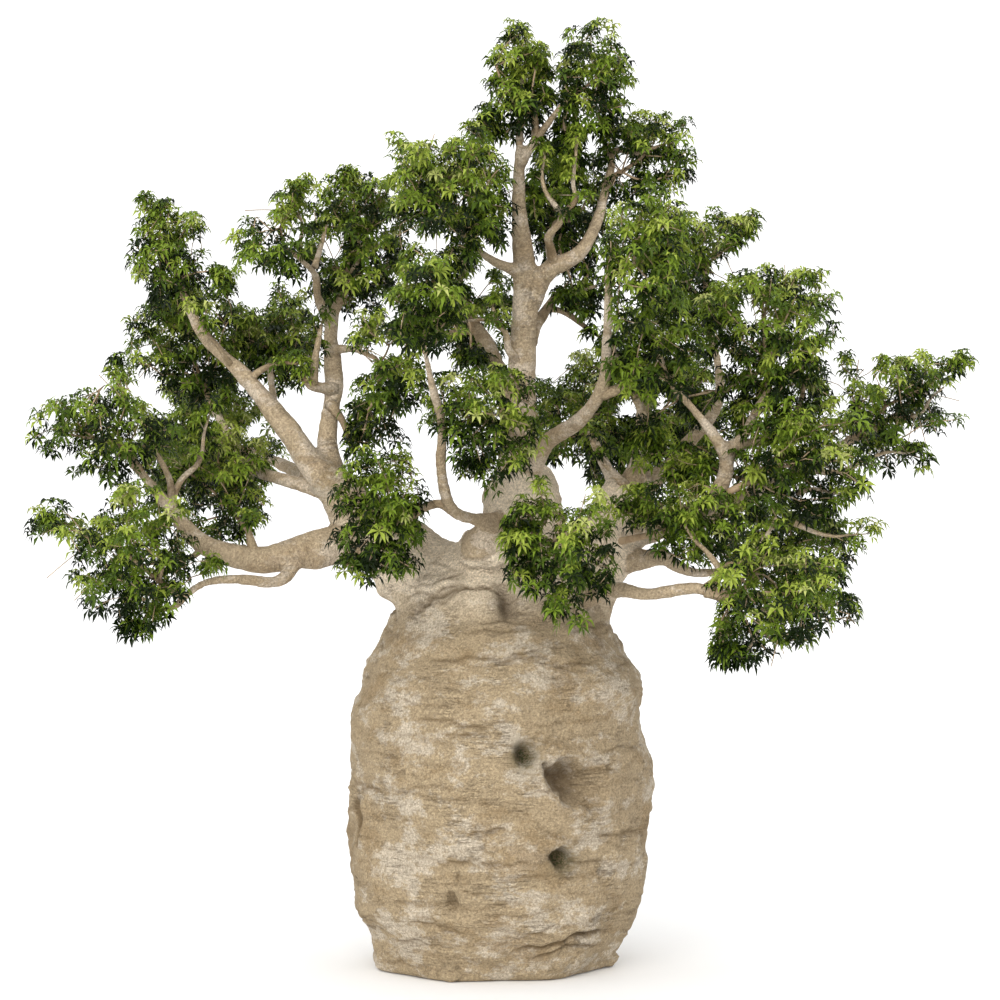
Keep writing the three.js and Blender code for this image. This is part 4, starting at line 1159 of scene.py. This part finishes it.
def in_space(points, i):
    """Which points are in the space of a mass, and deeper in it than in any other's."""
    shares = np.linalg.norm((points[:, None] - space_centres) / space_halves, axis=-1)
    own = shares[:, i].copy()
    shares[:, i] = np.inf
    return (own <= space_skin) & (points[:, 2] >= 0) & (shares.min(axis=1) > own + space_margin)


def near_trunk(points, margin):
    """Which points are in the belly or within a margin of it."""
    middle, half_w, half_d = belly_at(np.minimum(points[:, 2], belly_top))
    x = (points[:, 0] - middle) / (half_w * trunk_skin_share + margin)
    y = points[:, 1] / (half_d * trunk_skin_share + margin)
    return (points[:, 2] <= belly_top + margin) & (x * x + y * y < 1)


length_reach = np.linalg.norm(length_b - length_a, axis=1) + np.maximum(length_ra, length_rb)
near_lengths = []
for i, (centre, half) in enumerate(zip(space_centres, space_halves)):
    far = np.linalg.norm(length_a - centre, axis=1) - length_reach
    near_lengths.append((length_owner != i) & (far < near_reach * half.max() + near_extra))


def clear_of_limbs(points, i, margin):
    """Which points keep a margin from the trunk and from every limb but the mass's own stem."""
    keep = near_lengths[i]
    a, b, ra, rb = length_a[keep], length_b[keep], length_ra[keep], length_rb[keep]
    run = b - a
    t = np.clip(((points[:, None] - a) * run).sum(-1) / (run ** 2).sum(-1), 0, 1)
    distance = np.linalg.norm(points[:, None] - (a + run * t[..., None]), axis=-1) - (ra + (rb - ra) * t)
    return (distance.min(axis=1) > margin) & ~near_trunk(points, margin)


def lines_free(starts, end, i, margin, kept=in_space):
    """Which of the straight ways from several starts to one end stay in the space and clear."""
    steps = np.array([0.25, 0.5, 0.75, 1])
    points = (starts[:, None] + (end - starts)[:, None] * steps[None, :, None]).reshape(-1, 3)
    free = kept(points, i) & clear_of_limbs(points, i, margin)
    return free.reshape(-1, len(steps)).all(axis=1)


print("the middle of the first mass is free:", bool(in_space(space_centres[:1], 0)[0]))

# %% Fans of leaves, as on the plain model
fans_per_mass, leaf_share, leaf_width, leaf_widest = 8, 1, 0.62, 0.45
leaf_droop, leaf_spacing = 0.3, 0.24
rib_places = np.array([0.25, 0.5, 0.75, 1])
# The middle leaf of a fan and the two beside it: how far each is turned, and its size.
fan = [(0, 1), (1.15, 0.92), (-1.15, 0.92)]
way_scatter, length_scatter, furthest_in, inward_step = 0.8, 0.3, 0.4, 0.07
golden_angle = math.pi * (3 - math.sqrt(5))
crown_heart = np.array([100, 0, 5200])
near_side = -0.8


def unit(v):
    return v / np.linalg.norm(v)


def turned(v, axis, angle):
    """A way turned about an axis."""
    c, s = math.cos(angle), math.sin(angle)
    return v * c + np.cross(axis, v) * s + axis * axis.dot(v) * (1 - c)


def fan_leaves(root, way, length, roll):
    """The leaves of one fan."""
    level = np.array([-way[1], way[0], 0])
    if np.linalg.norm(level) < 0.1:
        level = np.array([1.0, 0, 0])
    sideways = turned(unit(level), way, roll)
    up = np.cross(sideways, way)
    leaves = []
    for turn, size in fan:
        lie = way * math.cos(turn) + sideways * math.sin(turn)
        across = sideways if turn == 0 else np.cross(lie, up)
        leaves.append(dict(root=root, way=lie, across=across, length=length * size))
    return leaves


def leaf_free(leaf, i):
    """Whether a leaf's outline stays in the space of its mass and clear of limbs."""
    root, way, across, length = leaf["root"], leaf["way"], leaf["across"], leaf["length"]
    tip = root + way * length
    middle = root + way * length * leaf_widest
    wings = [middle + across * length * leaf_width * 0.5 * s for s in (1, -1)]
    tests = [root, tip, *wings, middle]
    for wing in wings:
        tests += [wing + (tip - wing) * 0.5, wing + (root - wing) * 0.4]
    tests = np.array(tests)
    return (in_space(tests, i) & clear_of_limbs(tests, i, limb_margin)).all()


def rib(leaf):
    return leaf["root"] + leaf["way"] * (rib_places * leaf["length"])[:, None]


def fans_in(i, random):
    """The fans of one mass, each a root and its leaves, laid over the skin of its space."""
    fans, placed = [], []
    centre, half = space_centres[i], space_halves[i]
    size = leaf_share * half.mean()
    lean = unit(centre - crown_heart)
    level = unit(np.array([-lean[1], lean[0], 0]))
    rise = np.cross(lean, level)
    for k in range(fans_per_mass):
        height = 1 + (near_side - 1) * k / (fans_per_mass - 1)
        turn = golden_angle * k + 2 * math.pi * random()
        flat = math.sqrt(1 - height * height)
        out = lean * height + level * flat * math.cos(turn) + rise * flat * math.sin(turn)
        way = out.copy()
        for axis in range(3):
            way[axis] += way_scatter * (random() - 0.5)
        way[2] -= leaf_droop
        way = unit(way)
        length = size * (1 + length_scatter * (random() - 0.5))
        roll = math.pi * random()
        reach = 1.0
        while reach > furthest_in:
            root = out * reach * half + centre - way * length
            leaves = fan_leaves(root, way, length, roll)
            free = [leaf for leaf in leaves if leaf_free(leaf, i) and all(
                np.linalg.norm(rib(leaf)[:, None] - rib(other)[None], axis=-1).min() > leaf_spacing * size
                for other in placed)]
            if free and free[0] is leaves[0]:
                placed += free
                fans.append((root, free))
                break
            reach -= inward_step
    return fans


all_fans = [fans_in(i, seeded(first_seed + i)) for i in range(len(limbs))]
fan_count, leaf_count = sum(map(len, all_fans)), sum(len(leaves) for fans in all_fans for _, leaves in fans)
print(fan_count, "fans with", leaf_count, "leaves")

# %% Twigs that find the shortest way home
way_home, straight_twig, twig_bend = 0.42, 700, 0.1
most_joints = 600


class Twigs:
    """The joints of one mass: where each is, which joint it comes from and its way from the stem."""

    def __init__(self, start):
        self.places = np.zeros((most_joints, 3))
        self.ways = np.zeros(most_joints)
        self.parent = [-1]
        self.places[0] = start

    def at(self, joint):
        return self.places[joint]

    def join(self, at, parent):
        """Adds a joint that comes from another."""
        joint = len(self.parent)
        self.parent.append(parent)
        self.places[joint] = at
        self.ways[joint] = self.ways[parent] + np.linalg.norm(at - self.places[parent])
        return joint

    def grow(self, end, i, margin, tries, bend=twig_bend, straight=straight_twig, kept=in_space):
        """Joins an end to the joint that gives it the shortest free way home."""
        count = len(self.parent)
        cost = np.linalg.norm(self.places[:count] - end, axis=1) + way_home * self.ways[:count]
        order = np.argsort(cost, kind="stable")[:tries]
        free = lines_free(self.places[order], end, i, margin, kept)
        if not free.any() or count > most_joints - 2:
            return None
        best = int(order[free.argmax()])
        start = self.places[best]
        length = np.linalg.norm(end - start)
        elbow = (start + end) / 2 + [0, 0, bend * length]
        if length > straight and lines_free(start[None], elbow, i, margin, kept)[0] \
                and lines_free(elbow[None], end, i, margin, kept)[0]:
            best = self.join(elbow, best)
        return self.join(end, best)


crown, fan_joints = [], []
for i, limb in enumerate(limbs):
    twigs = Twigs(limb["stem_rings"][0][-1])
    start = twigs.at(0)
    for root, leaves in sorted(all_fans[i], key=lambda f: np.linalg.norm(f[0] - start)):
        joint = twigs.grow(root, i, twig_tip + limb_margin, most_joints)
        if joint is not None:
            fan_joints.append((i, joint, leaves))
    crown.append(twigs)

# %% Finer twigs along the plain model's leaves
# Each large leaf of the solid stands for a spray, so a fine twig follows its rib.
rib_tufts = [0.42, 0.68, 0.9]
rib_sag = 0.1
tufts = []
for i, joint, leaves in fan_joints:
    tufts.append((i, joint))
    for leaf in leaves:
        last = joint
        for share in rib_tufts:
            spot = leaf["root"] + leaf["way"] * leaf["length"] * share
            spot = spot - [0, 0, rib_sag * leaf["length"] * share ** 2]
            last = crown[i].join(spot, last)
            tufts.append((i, last))
print(len(tufts), "tufts along the ribs")

# %% [markdown]
# ## Finer twigs
#
# The solid's few twigs carry on into hundreds, with a spray at each tip. Tips are scattered
# through the mass's space, thinner towards a ragged skin and with holes where a soft random
# field is low, as a cluster of real sprays has. They could be grown by a rule of forking
# angles, but joining each tip to the twig that gives it the shortest way home fills a given
# space and still looks grown.

# %% Finer twigs between them
tufts_per_cube = 60
# Masses through which more sky shows than through the others.
thinner = {"left_tip": 0.55, "far_right": 0.55, "left_low": 0.7, "right_low": 0.85, "left_tall": 0.8}
tuft_gap = 0.6
boxiness = 2.6
ragged_size, ragged_share = 380, 0.34
hole_size, hole_level = 420, -0.42
fine_margin, tuft_margin = 6, 60
fine_tries, fine_bend, fine_straight = 12, 0.12, 260
outermost, innermost, skin_level, skin_lift = 0.94, 0.15, 0.96, 0.25
crowd_power, spots_per_tuft = 0.85, 12


def fullness(points, i):
    """0 in the middle of a mass and 1 on its skin, which is a little boxier than an egg."""
    return (np.abs((points - space_centres[i]) / space_halves[i]) ** boxiness).sum(axis=-1) ** (1 / boxiness)


def in_fine_space(points, i):
    return fullness(points, i) <= 1


def grow_fine(spot, i, kept):
    """Grows a fine twig to a spot and notes the tuft at its tip."""
    joint = crown[i].grow(spot, i, fine_margin, fine_tries, fine_bend, fine_straight, kept)
    if joint is not None:
        tufts.append((i, joint))


for i, twigs in enumerate(crown):
    random = np.random.default_rng(first_seed + i)
    half, centre = space_halves[i], space_centres[i]
    volume = 8 * np.prod(half) / 1e9
    wanted = int(tufts_per_cube * volume ** crowd_power * thinner.get(limbs[i]["name"], 1))
    apart = tuft_gap * (volume / wanted) ** (1 / 3) * 1000
    spots = centre + random.uniform(-outermost, outermost, (wanted * spots_per_tuft, 3)) * half
    full = fullness(spots, i)
    skin = skin_level - ragged_share * np.clip(field(spots, ragged_size, 20) + skin_lift, 0, 1)
    spots = spots[(full < skin) & (full > innermost) & (field(spots, hole_size, 21) > hole_level)]
    spots = spots[clear_of_limbs(spots, i, tuft_margin) & ~in_sky(spots)]
    kept_spots = [twigs.at(joint) for owner, joint in tufts if owner == i]
    first = len(kept_spots)
    for spot in spots:
        if np.linalg.norm(np.array(kept_spots) - spot, axis=1).min() > apart:
            kept_spots.append(spot)
        if len(kept_spots) - first >= wanted:
            break
    spots = np.array(kept_spots[first:])
    for spot in spots[np.argsort(np.linalg.norm(spots - twigs.at(0), axis=1), kind="stable")]:
        grow_fine(spot, i, in_fine_space)
print(len(tufts), "tufts in the spaces")

# %% [markdown]
# ## Fuller places
#
# Where masses meet, their leaves run together, and here and there a spray reaches out of
# its mass. Bigger masses would close the gaps too, so these places are noted one by one, as
# the viewer sees them, and filled from the nearest mass's twigs.

# %% Fuller places
# Seen x, z and depth, half width, half height and how many tufts.
fuller = [
    [0, 8400, -50, 190, 190, 16], [500, 8850, -30, 120, 260, 16], [780, 7950, 200, 230, 560, 46],
    [870, 6640, 450, 230, 130, 26], [-2650, 6850, 0, 140, 180, 12], [-3330, 7600, 150, 170, 130, 9],
    [-1900, 7750, -600, 130, 120, 8], [-1450, 7860, 600, 160, 100, 8], [-1280, 5350, -80, 160, 280, 20],
    [-180, 4930, -1150, 160, 170, 14], [2100, 4930, -600, 200, 170, 14], [2500, 5500, -400, 110, 240, 12],
    [3300, 5800, 100, 190, 150, 10], [3000, 6850, -400, 350, 160, 16], [2580, 7400, 700, 130, 150, 10],
    [3850, 6000, 350, 380, 100, 10], [4650, 6000, 350, 140, 140, 8], [-3600, 3380, -1200, 200, 130, 10],
    [-4450, 4400, -1200, 140, 150, 8], [-2700, 3950, -850, 200, 130, 10], [-1330, 3960, -1100, 150, 110, 9],
    [2350, 3140, -1450, 220, 120, 12], [3600, 3500, -1450, 90, 200, 8], [250, 4300, -1500, 160, 170, 12],
    [1250, 7720, 200, 130, 110, 8], [430, 7600, 260, 60, 380, 18], [1560, 5250, -350, 200, 330, 26],
    [1900, 5000, -500, 230, 200, 18], [2000, 5550, -200, 160, 200, 14], [1450, 4600, -700, 220, 220, 14],
    [-150, 6050, 100, 180, 110, 10],
]
fuller_depth, fuller_margin, outward_crowding = 220, 40, 0.4


def anywhere(points, i):
    return np.ones(len(points), dtype=bool)


random = np.random.default_rng(9)
for x, z, depth, half_w, half_h, wanted in fuller:
    for _ in range(wanted):
        out = unit(random.normal(0, 1, 3)) * random.uniform(0, 1) ** outward_crowding
        spot = place([x + half_w * out[0], z + half_h * out[1], depth + fuller_depth * out[2]])
        i = int(min(range(len(crown)), key=lambda k: fullness(spot, k)))
        if clear_of_limbs(spot[None], i, fuller_margin)[0]:
            grow_fine(spot, i, anywhere)
ends = np.array([crown[i].at(joint) for i, joint in tufts])
tufts = [tuft for tuft, hidden in zip(tufts, in_sky(ends)) if not hidden]
tuft_tips = [crown[i].at(joint) for i, joint in tufts]
tuft_backs = [crown[i].at(crown[i].parent[joint]) for i, joint in tufts]
tuft_outers = [unit((crown[i].at(joint) - space_centres[i]) / space_halves[i]) for i, joint in tufts]

# %% [markdown]
# ## Twigs
#
# A twig is as thick as the tips that it feeds, so a run of twigs is followed from each fork
# along its most loaded child. All the runs are then swept as slim tubes with few sides and
# joined into one mesh: tens of thousands of separate objects would choke Blender.

# %% Runs of twigs
fine_tip = 5.0
fine_growth = 0.44


def runs_of(twigs, stem_radius):
    """A mass's twigs as runs, each the places and radii from its fork to its tip."""
    count = len(twigs.parent)
    load = np.zeros(count)
    for j in range(count - 1, -1, -1):
        load[j] = max(load[j], 1)
        if twigs.parent[j] >= 0:
            load[twigs.parent[j]] += load[j]
    size = np.minimum(fine_tip * load ** fine_growth, stem_radius)
    heir = [-1] * count
    for j, parent in enumerate(twigs.parent):
        if parent >= 0 and (heir[parent] < 0 or load[j] > load[heir[parent]]):
            heir[parent] = j
    runs = []
    for j, parent in enumerate(twigs.parent):
        if parent >= 0 and heir[parent] == j:
            continue
        run = [(twigs.at(parent), size[j])] if parent >= 0 else []
        k = j
        while k >= 0:
            run.append((twigs.at(k), size[k]))
            k = heir[k]
        if len(run) > 1:
            runs.append((np.array([at for at, _ in run]), np.array([r for _, r in run])))
    return runs


print("the first mass has", len(runs_of(crown[0], 40)), "runs of twigs")

# %% Sweep the twigs
stem_sides, stout_sides, slim_sides, slim_twig = 8, 5, 3, 12
stem_overlap = 40


def joined(tubes):
    """The points and three-sided faces of many tubes, each centres, radii and side count."""
    points, faces, start = [], [], 0
    for centres, radii, count in tubes:
        p, q, t = tube(centres, radii, count)
        points.append(p)
        faces += [q[:, [0, 1, 2]] + start, q[:, [0, 2, 3]] + start, t + start]
        start += len(p)
    return np.vstack(points), np.vstack(faces)


twig_tubes = []
for limb, twigs in zip(limbs, crown):
    c, r = limb["stem_rings"]
    c = c.copy()
    c[0] -= unit(c[1] - c[0]) * stem_overlap
    twig_tubes.append((c, r, stem_sides))
    for rows, row_radii in runs_of(twigs, r[-1]):
        if len(rows) > 2:
            steps = 2 * (len(rows) - 1)
            t = np.linspace(0, len(rows) - 1, steps + 1)
            row_radii = np.interp(t, np.arange(len(rows)), row_radii)
            rows = curve_points(rows, steps)
        twig_tubes.append((rows, row_radii, stout_sides if row_radii[0] > slim_twig else slim_sides))
points, faces = joined(twig_tubes)
twig_piece = make_mesh("twigs", points, faces)
print(len(twig_tubes), "runs of twigs,", len(faces), "triangles")

# %% [markdown]
# ## Branches and their shoots
#
# The winding branches noted above are swept the same way, with more sides, as they show.
# Each widens where it leaves its bough and wanders a little in line and girth, which a
# plain tube would not. Its outer half carries short shoots, each with a spray at its tip.

# %% Sweep the branches
branch_step, branch_sides, leafless_share = 55, 12, 0.5
shoot_radii, shoot_sides, shortest_shoot, longest_shoot = [6.0, 4.0], 4, 70, 190
tip_reach, shoot_rise, shoot_follows = 30, 0.4, 0.6
branch_flare, branch_flare_reach, branch_stray, stray_size = 0.4, 2.2, 0.25, 190
swell_share, swell_size, knot_share, knot_size = 0.1, 120, 0.06, 45
shoots = np.random.default_rng(2)

branch_tubes = []
for rows in branches.values():
    c, r = rings_of(rows, branch_step)
    way = np.arange(len(c)) * float(branch_step)
    uneven = 1 + swell_share * field(c, swell_size, 5) + knot_share * field(c, knot_size, 6)
    r = r * (1 + branch_flare * np.exp(-way / (branch_flare_reach * r[0]))) * uneven
    c = c + branch_stray * r[:, None] * np.stack([field(c, stray_size, k) for k in (7, 8, 9)], axis=1)
    branch_tubes.append((c, r, branch_sides))
    for ring in range(int(leafless_share * len(c)), len(c), 2):
        along = unit(c[ring] - c[ring - 1])
        outer = unit(shoots.normal(0, 1, 3) + [0, 0, shoot_rise])
        end = c[ring] + unit(shoot_follows * along + outer) * shoots.uniform(shortest_shoot, longest_shoot)
        branch_tubes.append((np.array([c[ring], end]), np.array(shoot_radii), shoot_sides))
        tuft_tips.append(end)
        tuft_backs.append(c[ring])
        tuft_outers.append(outer)
    tuft_tips.append(c[-1] + along * tip_reach)
    tuft_backs.append(c[-1])
    tuft_outers.append(along)
points, faces = joined(branch_tubes)
branch_piece = make_mesh("branches", points, faces)
print(len(branch_tubes), "branches and shoots,", len(faces), "triangles")

# %% [markdown]
# ## The finish of twigs and branches
#
# Young twigs are browner and rougher than the trunk, with dark blotches. Branches are as
# pale as the boughs they leave, so they take the boughs' finish. The blotches could be one
# flat brown, but a cloudy pattern keeps thousands of twigs from looking alike.

# %% Twig finish
def twig_bark(name, base, dark):
    made, tree, shader = new_finish(name, 0.82)
    where = add(tree, "ShaderNodeTexCoord").outputs["Object"]
    blotch = window(tree, pattern(tree, where, 9, 5, 0.6), 0.4, 0.66)
    tree.links.new(blend_colour(tree, blotch, base, dark), shader.inputs["Base Color"])
    bump(tree, shader, pattern(tree, where, 60, 4, 0.6), 0.7, 0.006)
    return made


twig_finish = twig_bark("twig_finish", (0.44, 0.33, 0.21), (0.27, 0.18, 0.1))
for piece, finish in ((twig_piece, twig_finish), (branch_piece, bough_bark)):
    piece.data.materials.append(finish)
    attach(piece, "root")
print("finishes", twig_finish.name, "and", bough_bark.name)

# %% [markdown]
# ## Leaves
#
# A baobab leaf is a hand: five to seven slim leaflets spread from the end of one stalk, and
# they droop. Leaves stand in sprays round the last stretch of a twig. They could be copies
# of one modelled leaf, but made all at once from arrays each is a little different, and the
# million faces stay quick to build.

# %% Where the leaves stand
leaves_per_tuft = 6
stalk_length = 60
spray_share, spray_length, spray_crowding = 0.9, 230, 1.1
# How far a leaf's way follows its twig, turns aside from it, leans out and rises.
tip_leaf, side_leaf, outward_lean, rise = (1.0, 0.15), (0.35, 0.9), 0.3, 0.5
tuft_tips, tuft_backs, tuft_outers = np.array(tuft_tips), np.array(tuft_backs), np.array(tuft_outers)
leaf_sizes = (0.8, 1.15)
dice = np.random.default_rng(5)


def units(v):
    return v / np.clip(np.linalg.norm(v, axis=-1, keepdims=True), 1e-6, None)


def across_of(ways, hint):
    """Two ways across each way."""
    level = units(np.cross(ways, np.array(hint)))
    return level, np.cross(ways, level)


def between(level, other, turn):
    """A way across, turned from level towards other."""
    return level * np.cos(turn)[:, None] + other * np.sin(turn)[:, None]


run = np.linalg.norm(tuft_tips - tuft_backs, axis=1)
along = units(tuft_tips - tuft_backs)
level, other = across_of(along, [0.13, 0.2, 1.0])
stalk_roots, stalk_ways, tuft_of = [], [], []
for k in range(leaves_per_tuft):
    back = np.minimum(run * spray_share, spray_length) * (k / leaves_per_tuft) ** spray_crowding
    turn = golden_angle * k + dice.uniform(0, 2 * np.pi, len(run))
    side = between(level, other, turn)
    on, aside = side_leaf if k else tip_leaf
    way = units(along * on + side * aside)
    stalk_roots.append(tuft_tips - along * back[:, None])
    stalk_ways.append(units(way + outward_lean * tuft_outers + [0, 0, rise]))
    tuft_of.append(np.arange(len(run)))
stalk_roots, stalk_ways = np.vstack(stalk_roots), np.vstack(stalk_ways)
tuft_of = np.concatenate(tuft_of)
stalk_sizes = dice.uniform(*leaf_sizes, len(stalk_roots))
hubs = stalk_roots + stalk_ways * (stalk_length * stalk_sizes)[:, None]
print(len(hubs), "leaves in", len(tuft_tips), "tufts")

# %% [markdown]
# ### Leaflets
#
# Each leaflet is a long blade folded along its rib, widest about the middle, and bent down
# once on its way to the tip. It has its own outline in four faces, so nothing has to be
# cut out by a picture with see-through parts, and its two halves catch the light unlike.

# %% The leaflets
leaflet_length, leaflet_width = 126, 34
keel = 0.22
down = np.array([0.0, 0.0, -1.0])
fewest, most = 5, 6
hub_follows_stalk, hub_rise, hub_scatter = 0.75, 0.7, 0.25
rib_share, turn_scatter = 0.48, 0.14
cups, blade_lengths, droops = (0.0, 0.5), (0.78, 1.15), (0.6, 1.7)


def leaflets(hubs, ways, sizes, seed):
    """Keeled blades of five points, with the number of the leaf that each is on."""
    dice = np.random.default_rng(seed)
    axis = units(hub_follows_stalk * ways - hub_rise * down + dice.normal(0, hub_scatter, ways.shape))
    level, other = across_of(axis, [0.31, 0.2, 0.1])
    blades, owner = [], []
    counts = dice.integers(fewest, most + 1, len(hubs))
    first_turn = dice.uniform(0, 2 * np.pi, len(hubs))
    for k in range(most):
        has = np.nonzero(counts > k)[0]
        many = len(has)
        turn = first_turn[has] + 2 * np.pi * k / counts[has] + dice.normal(0, turn_scatter, many)
        spread_way = between(level[has], other[has], turn)
        way = units(spread_way + axis[has] * dice.uniform(*cups, many)[:, None])
        length = (leaflet_length * sizes[has] * dice.uniform(*blade_lengths, many))[:, None]
        across = units(np.cross(way, axis[has]))
        bend = dice.uniform(*droops, many)[:, None]
        width = length / leaflet_length * leaflet_width
        root = hubs[has]
        rib = root + way * length * rib_share
        tip = rib + units(way + down * bend) * length * (1 - rib_share)
        half = across * width / 2
        lift = np.cross(across, way) * width * keel
        blades.append(np.stack([root, rib - half + lift, rib, rib + half + lift, tip], axis=1))
        owner.append(has)
    return np.vstack(blades), np.concatenate(owner)


blades, leaf_of = leaflets(hubs, stalk_ways, stalk_sizes, 8)
blade_faces = np.array([[0, 2, 1], [0, 3, 2], [1, 2, 4], [2, 3, 4]])
print(len(blades), "leaflets,", len(blades) * len(blade_faces), "triangles")

# %% [markdown]
# ## Greens dealt out by spray
#
# A leaf is satin. Its five greens are partly the leaves' own tones and partly painted light
# and shade: the darkest is painted shade, dark and bluish, for leaves deep in the crown, and
# the fresh and light yellowish greens are painted sunlight at the top of a spray. A leaf is
# far too small to carry a pattern of its own, so there are five plain greens and five
# pieces. Every spray draws a lightness, higher on the upper side of its mass as painted
# light from above, and each leaf strays a little from its spray's.

# %% Greens dealt out by spray
# Each green's colour, and its share of the leaves, from the darkest.
greens = {
    # The darkest green is painted shade; the fresh and light greens are partly painted sunlight.
    "leaves_deep_painted_shade": ((0.005, 0.012, 0.001), 0.27),
    "leaves_dark": ((0.046, 0.079, 0.007), 0.28),
    "leaves_green": ((0.122, 0.182, 0.016), 0.26),
    "leaves_fresh_painted_light": ((0.240, 0.300, 0.042), 0.16),
    "leaves_light_painted_highlight": ((0.360, 0.395, 0.120), 0.03),
}
# Painted light: sprays on the upper side of a mass draw lighter greens, as if lit from above.
painted_light_from_height, spray_scatter, leaf_scatter = 0.5, 0.5, 0.45


def copies(faces, corners, many):
    """The faces of many alike pieces with so many corners each."""
    return (faces[None] + corners * np.arange(many)[:, None, None]).reshape(-1, 3)


luck = np.random.default_rng(3)
tuft_light = painted_light_from_height * tuft_outers[:, 2] + luck.normal(0, spray_scatter, len(tuft_tips))
leaf_light = tuft_light[tuft_of] + luck.normal(0, leaf_scatter, len(hubs))
order = leaf_light.argsort().argsort() / len(leaf_light)
bounds = np.cumsum([share for _, share in greens.values()])[:-1]
tint_of_blade = np.searchsorted(bounds, order, side="right")[leaf_of]

for number, (name, (colour, _)) in enumerate(greens.items()):
    mine = blades[tint_of_blade == number]
    faces = copies(blade_faces, 5, len(mine))
    piece = make_mesh(name, mine.reshape(-1, 3), faces, smooth=False)
    piece.data.materials.append(plain_finish(name + "_finish", colour, 0.42, 0.12))
    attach(piece, "root")
    print(name, len(faces), "triangles")
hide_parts(*["leaves_" + limb["name"] for limb in limbs])

# %% [markdown]
# ## Leaf stalks
#
# A stalk is a slim spike of three faces from the twig to the hub of its leaflets. A curve
# with a round section would be rounder, but no eye sees that on so thin a thing, and there
# are tens of thousands.

# %% Leaf stalks
stalk_radius = 3
ring = spokes(*across_of(stalk_ways, [0.1, 0.2, 1.0]), 3)
ends = np.concatenate([stalk_roots[:, None] + ring * stalk_radius, hubs[:, None]], axis=1)
faces = copies(np.array([[0, 1, 3], [1, 2, 3], [2, 0, 3]]), 4, len(ends))
stalks = make_mesh("leaf_stalks", ends.reshape(-1, 3), faces)
stalks.data.materials.append(plain_finish("stalk_finish", (0.16, 0.15, 0.05), 0.6))
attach(stalks, "root")
print(len(ends), "stalks,", len(faces), "triangles")
